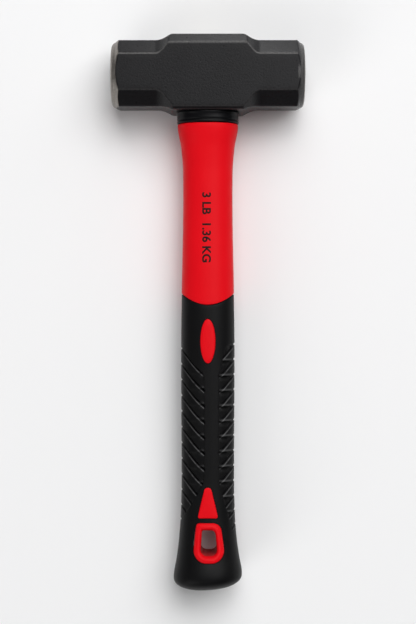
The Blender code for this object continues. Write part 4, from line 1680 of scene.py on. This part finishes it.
    def mark_surface(self, grip: bpy.types.Object) -> None:
        """Stores on the grip's points what the groove tree reads.

        Args:
            grip: the grip's plain mesh.
        """
        points = coordinates(grip)
        x, y = points[:, 0], points[:, 1]
        inset = np.full(len(points), -1.0)
        offset = np.full(len(points), 1.0)
        facet = np.zeros(len(points))
        lip = np.zeros(len(points))
        step = np.full(len(points), -1.0)
        step_share = np.zeros(len(points))
        for plan in (LEFT_PLAN, RIGHT_PLAN):
            mine = (x - self.panel_split) * plan.side.value > 0
            number = self.groove_number(plan, x, y)
            whole = np.clip(np.round(number), 0, plan.count - 1)
            across = (number - whole) * plan.pitch * math.cos(self.groove_angle)
            inset[mine] = outline_distance(self.panel(plan), points[mine][:, :2])
            offset[mine] = across[mine]
            facet[mine] = self.facet(plan, x[mine], y[mine]) * plan.facet_share
            inside = smooth_step(inset[mine], 0.0, self.panel_fade)
            # lip: the painted highlight on each groove's lower lip, strongest near the band.
            from_lip = (offset[mine] - self.lip_place) / self.lip_width
            reach = np.abs(x[mine] - plan.band_edge)
            near_band = 1 - smooth_step(reach, *self.lip_reach)
            rubbed_and_highlight = self.lip_share + (1 - self.lip_share) * near_band
            lip[mine] = np.exp(-(from_lip**2)) * inside * rubbed_and_highlight
            lower_end = np.full_like(reach, plan.step_edge)
            step[mine] = self.groove_number(plan, lower_end, y[mine])
            short = plan.step_strength * (1 - smooth_step(reach, *plan.step_reach))
            step_share[mine] = inside * short * (1 - self.side_share(x[mine]))
        marks = {
            "panel_inset": inset,
            "side_share": self.side_share(x),
            "groove_offset": offset,
            "facet": facet,
            "lip": lip,
            "step_number": step,
            "step_share": step_share,
        }
        for name, values in marks.items():
            store(grip, name, values)

    def rings(self) -> np.ndarray:
        """The grip's plain form, before its grooves and windows are cut.

        Returns:
            Rings by points by xyz.
        """
        form = self.form
        turns = form.even_turns(self.columns)
        top = form.sleeve_edge(turns, GAP)
        under = GAP - form.sleeve_wall
        rings = [form.points(turns, top - self.tongue, under), form.points(turns, top, under)]
        for inset, drop in rounded_edge(self.rim_radius, 5):
            rings.append(form.points(turns, top - drop, -inset))
        rings += [form.points(turns, y) for y in self.row_places(turns)[1:]]
        wide = form.points(turns, np.full_like(turns, form.butt + form.butt_height))
        for angle in np.linspace(0, math.pi / 2, self.butt_rows)[1:-1]:
            share = math.cos(angle) ** (2 / form.cap_power)
            drop = form.butt_height * math.sin(angle) ** (2 / form.cap_power)
            ring = wide.copy()
            ring[:, 0] *= share
            ring[:, 2] = form.axis_z + (wide[:, 2] - form.axis_z) * share
            ring[:, 1] = form.butt + form.butt_height - drop + form.butt_slope * ring[:, 0]
            rings.append(ring)
        return np.array(rings)

    def build(self, windows: "Windows") -> None:
        """Makes and dresses the grip.

        Args:
            windows: the inlays and the liner let into it.
        """
        grip = grid_object("ribbed_grip", self.rings())
        self.mark_surface(grip)
        material = GrooveRubber().material()
        GrooveTree().apply(grip, material)
        carve(grip, windows.cutters())
        crease(grip, degrees=34.0)
        dress(grip, material, "grip_rubber", "grip_sleeve")


def arc_corner(
    before: Place, corner: Place, after: Place, radius: float, count: int = 12
) -> list[Place]:
    """A corner of an outline, rounded by an arc.

    Args:
        before: the outline's point before the corner.
        corner: the corner.
        after: the outline's point after it.
        radius: the arc's radius.
        count: how many points to make.

    Returns:
        The arc's points.
    """
    at = np.array(corner)
    back = np.array(before) - at
    onward = np.array(after) - at
    back, onward = back / np.linalg.norm(back), onward / np.linalg.norm(onward)
    half = math.acos(float(np.clip(back @ onward, -1, 1))) / 2
    middle = at + (back + onward) / np.linalg.norm(back + onward) * radius / math.sin(half)
    start = at + back * radius / math.tan(half) - middle
    stop = at + onward * radius / math.tan(half) - middle
    points = []
    for share in np.linspace(0, 1, count):
        spoke = start * (1 - share) + stop * share
        points.append(tuple(middle + spoke / np.linalg.norm(spoke) * radius))
    return points


@dataclass
class Windows:
    """The red ovals and arrows let into the grip, and the liner of the hang hole."""

    form: HandleForm
    oval_width: float = 9.4 * MM
    oval_length: float = 27.3 * MM
    oval_height: float = 154.2 * MM
    arrow_width: float = 12.2 * MM
    arrow_length: float = 18.9 * MM
    arrow_tip: float = 2.4 * MM
    arrow_corner: float = 1.2 * MM
    arrow_base: float = 45.4 * MM
    liner_width: float = 18.8 * MM
    liner_length: float = 24.4 * MM
    liner_height: float = 30.4 * MM
    liner_shift: float = 0.6 * MM
    liner_rim: float = 4.5 * MM
    liner_taper: float = 0.16
    depth: float = 1.5 * MM
    seat: float = 0.22 * MM
    seat_floor: float = 0.2 * MM
    cutter_reach: float = 40.0 * MM
    oval_points: int = 96
    rim_columns: int = 180
    outer_radii: Triple = (2.2, 5.5, 7.8)
    inner_radii: Triple = (1.0, 2.8, 3.6)
    bore_edge: float = 0.3 * MM
    bore_fade: float = 2.5 * MM
    pad: Profile = (
        (0.02, 0.3), (0.3, 0.3), (0.55, 0.29), (0.72, 0.27), (0.82, 0.22), (0.9, 0.12),
        (0.955, -0.02), (0.985, -0.18), (1.0, -0.4), (1.0, -1.5),
    )
    bead: Profile = (
        (0.0, -3.5), (0.0, -1.6), (0.02, -1.1), (0.07, -0.55), (0.14, 0.05), (0.22, 0.55),
        (0.31, 0.9), (0.42, 1.1), (0.55, 1.12), (0.7, 0.95), (0.82, 0.68), (0.91, 0.38),
        (0.97, 0.05), (0.995, -0.3), (1.0, -0.7), (1.0, -3.5),
    )

    def oval(self, grow: float = 0.0) -> np.ndarray:
        """The oval's outline.

        Args:
            grow: how far to grow it.

        Returns:
            The ring's points.
        """
        turns = np.linspace(0, 2 * math.pi, self.oval_points, endpoint=False)
        x = (self.oval_width / 2 + grow) * np.cos(turns)
        y = (self.oval_length / 2 + grow) * np.sin(turns)
        return np.column_stack((x, y + self.form.butt + self.oval_height))

    def arrow(self, grow: float = 0.0) -> np.ndarray:
        """The arrow's outline: a triangle that points to the head, with round corners.

        Args:
            grow: how far to grow it.

        Returns:
            The outline's points.
        """
        corner = self.arrow_width / 2 - self.arrow_corner
        base = self.form.butt + self.arrow_base
        circles = [
            (-corner, base + self.arrow_corner, self.arrow_corner + grow),
            (corner, base + self.arrow_corner, self.arrow_corner + grow),
            (0.0, base + self.arrow_length - self.arrow_tip, self.arrow_tip + grow),
        ]
        return around_circles(circles)

    def liner(self, inset: float, radii: Triple, grow: float = 0.0) -> np.ndarray:
        """The hang hole's D shape: straight on top, round below, wider to +X.

        Args:
            inset: how far inside the liner's outside.
            radii: top left, top right and lower corner radii, in millimetres.
            grow: how far to grow it.

        Returns:
            The outline's points.
        """
        half_width = self.liner_width / 2 - inset
        half_length = self.liner_length / 2 - inset
        top_left, top_right, low = (radius * MM for radius in radii)
        taper = self.liner_taper * half_width
        middle = self.form.butt + self.liner_height
        circles = [
            (-half_width + taper + top_left, half_length - top_left, top_left),
            (half_width - taper - top_right, half_length - top_right, top_right),
            (half_width - low, -half_length + low, low),
            (-half_width + low, -half_length + low, low),
        ]
        placed = [(x + self.liner_shift, y + middle, radius + grow) for x, y, radius in circles]
        return around_circles(placed)

    def outer(self, grow: float = 0.0) -> np.ndarray:
        """Outline of the liner's outside."""
        return self.liner(0.0, self.outer_radii, grow)

    def inner(self) -> np.ndarray:
        """Outline of the hang hole itself."""
        return self.liner(self.liner_rim, self.inner_radii)

    def cutters(self) -> list[bpy.types.Object]:
        """Solids that cut the pockets and the hole out of the grip.

        Returns:
            The cutters, closed solids.
        """
        reach, top = self.cutter_reach, self.form.axis_z + self.cutter_reach
        made = [outline_prism("hole_cutter", self.outer(self.seat), -reach, top)]
        for face in Face:
            for outline in (self.oval(self.seat), self.arrow(self.seat)):
                floor = self.shell(outline, -self.depth - self.seat_floor, face)
                roof = floor.copy()
                roof[:, 2] = self.form.axis_z + face.value * reach
                made.append(grid_object("pocket_cutter", np.array([floor, roof])))
        return made

    def shell(self, outline: np.ndarray, lift: np.ndarray | float, face: Face) -> np.ndarray:
        """An outline laid on the grip's surface and lifted from it."""
        z = self.form.height(outline[:, 0], outline[:, 1]) + lift
        return np.column_stack((outline, self.form.axis_z + face.value * z))

    def inlay(self, name: str, outline: np.ndarray, face: Face) -> bpy.types.Object:
        """One inlay: a low pad with a rolled edge that follows the grip's surface.

        Args:
            name: its name.
            outline: its outline in plan.
            face: the side of the hammer it is on.

        Returns:
            The inlay.
        """
        centre = outline.mean(axis=0)
        rings = []
        for share, lift in self.pad:
            rings.append(self.shell(centre + (outline - centre) * share, lift * MM, face))
        pad = grid_object(name, np.array(rings))
        crease(pad, degrees=40.0)
        return pad

    def rim(self) -> bpy.types.Object:
        """The liner: a tube through the butt whose ends roll over into a bead.

        Returns:
            The liner.
        """
        centre = np.array((self.liner_shift, self.form.butt + self.liner_height))
        angles = np.linspace(-math.pi, math.pi, self.rim_columns, endpoint=False)
        near = polar_reach(self.inner(), centre, angles)
        far = polar_reach(self.outer(), centre, angles)
        section = [(share, lift, 1) for share, lift in self.bead]
        section += [(share, lift, -1) for share, lift in reversed(self.bead)]
        ways = np.column_stack((np.cos(angles), np.sin(angles)))
        rings = []
        for share, lift, side in section:
            plan = centre + ways * (near + (far - near) * share)[:, None]
            z = self.form.height(plan[:, 0], plan[:, 1]) + lift * MM
            rings.append(np.column_stack((plan, self.form.axis_z + side * z)))
        rim = grid_object("hang_hole_rim", np.array(rings), looped=True)
        places = coordinates(rim)
        away = places[:, :2] - centre
        bore = polar_reach(self.inner(), centre, np.arctan2(away[:, 1], away[:, 0]))
        surface = self.form.height(places[:, 0], places[:, 1])
        lift = np.abs(places[:, 2] - self.form.axis_z) - surface
        inside = np.linalg.norm(away, axis=1) < bore + self.bore_edge
        # How far down the tunnel each point is; the liner's finish paints shade with it.
        store(rim, "bore_depth", inside * smooth_step(-lift, 0.0, self.bore_fade))
        crease(rim, degrees=50.0)
        return rim

    def build(self) -> None:
        """Makes and dresses the inlays and the liner."""
        material = RED_SKIN.material()
        for face in Face:
            end = face.name.lower()
            for shape, outline in (("oval", self.oval()), ("arrow", self.arrow())):
                pad = self.inlay(f"{end}_{shape}", outline, face)
                dress(pad, material, "red_plastic", f"{shape}_inlay_{end}")
        dress(self.rim(), ShadedBore().material(), "red_plastic", "hang_hole_liner")


# Stage


@dataclass(frozen=True)
class SoftLight:
    """A square soft light: its direction and its angle over the floor are in degrees."""

    name: str
    turn: float
    height: float
    distance: float
    size: float
    power: float


LIGHTS = (
    SoftLight("key", 50.0, 62.0, 4.0, 3.2, 114.0),
    SoftLight("top", 90.0, 50.0, 4.0, 2.4, 52.0),
    SoftLight("side", 45.0, 30.0, 4.0, 2.2, 18.0),
    SoftLight("fill", 225.0, 30.0, 4.0, 2.4, 47.0),
    SoftLight("back", 270.0, 50.0, 4.0, 2.2, 9.0),
    SoftLight("strip", 87.1, 3.1, 0.553, 0.1, 0.38),
)


@dataclass
class Studio:
    """Pale floor, soft lights and a camera that looks straight down on the hammer."""

    camera_height: float = 1.098
    camera_x: float = 0.0001
    camera_y: float = 0.0006
    lens: float = 100.0
    floor_size: float = 6.0
    sky: float = 0.05
    sky_colour: Colour = (1.0, 0.995, 0.985)
    floor_colour: Colour = (0.88, 0.88, 0.885)
    floor_roughness: float = 0.85
    floor_specular: float = 0.2
    clip_start: float = 0.05

    def build(self) -> None:
        """Makes the floor, the lights and the camera."""
        scene = bpy.context.scene
        scene.view_settings.view_transform = "Standard"
        self._floor()
        self._sky(scene)
        for light in LIGHTS:
            self._light(light)
        camera = bpy.data.objects.new("camera", bpy.data.cameras.new("camera"))
        camera.data.lens = self.lens
        camera.data.clip_start = self.clip_start
        camera.location = (self.camera_x, self.camera_y, self.camera_height)
        scene.collection.objects.link(camera)
        scene.camera = camera

    def _floor(self) -> None:
        """A plain pale floor at the surface the hammer lies on."""
        half = self.floor_size / 2
        work = bmesh.new()
        corners = [(-half, -half), (half, -half), (half, half), (-half, half)]
        work.faces.new([work.verts.new((x, y, 0.0)) for x, y in corners])
        floor = finished_object("floor", work)
        sheet = Sheet("floor_finish")
        sheet.set("Base Color", self.floor_colour)
        sheet.set("Roughness", self.floor_roughness)
        sheet.set("Specular IOR Level", self.floor_specular)
        floor.data.materials.append(sheet.material)

    def _sky(self, scene: bpy.types.Scene) -> None:
        """An even, slightly warm light from all round.

        Args:
            scene: the scene to light.
        """
        world = bpy.data.worlds.new("studio")
        world.use_nodes = True
        shade = world.node_tree.nodes["Background"]
        shade.inputs["Color"].default_value = (*self.sky_colour, 1.0)
        shade.inputs["Strength"].default_value = self.sky
        scene.world = world

    def _light(self, light: SoftLight) -> None:
        """Adds a light that points at the middle of the hammer.

        Args:
            light: the light's place, size and power.
        """
        data = bpy.data.lights.new(light.name, "AREA")
        data.size = light.size
        data.energy = light.power
        lamp = bpy.data.objects.new(light.name, data)
        turn, height = math.radians(light.turn), math.radians(light.height)
        flat = math.cos(height)
        way = Vector((math.cos(turn) * flat, math.sin(turn) * flat, math.sin(height)))
        lamp.location = way * light.distance
        lamp.rotation_euler = (-way).to_track_quat("-Z", "Y").to_euler()
        bpy.context.scene.collection.objects.link(lamp)


def main() -> None:
    """Builds the hammer's sub-assemblies, then the studio round them."""
    logging.basicConfig(level=logging.INFO, format="%(name)s: %(message)s")
    eye = Eye()
    form = HandleForm()
    windows = Windows(form)
    ForgedHead().build(eye)
    eye.build_core()
    eye.build_potting()
    NeckCollar(eye).build()
    RedShaft(form).build()
    RibbedGrip(form).build(windows)
    windows.build()
    Studio().build()


if __name__ == "__main__":
    main()
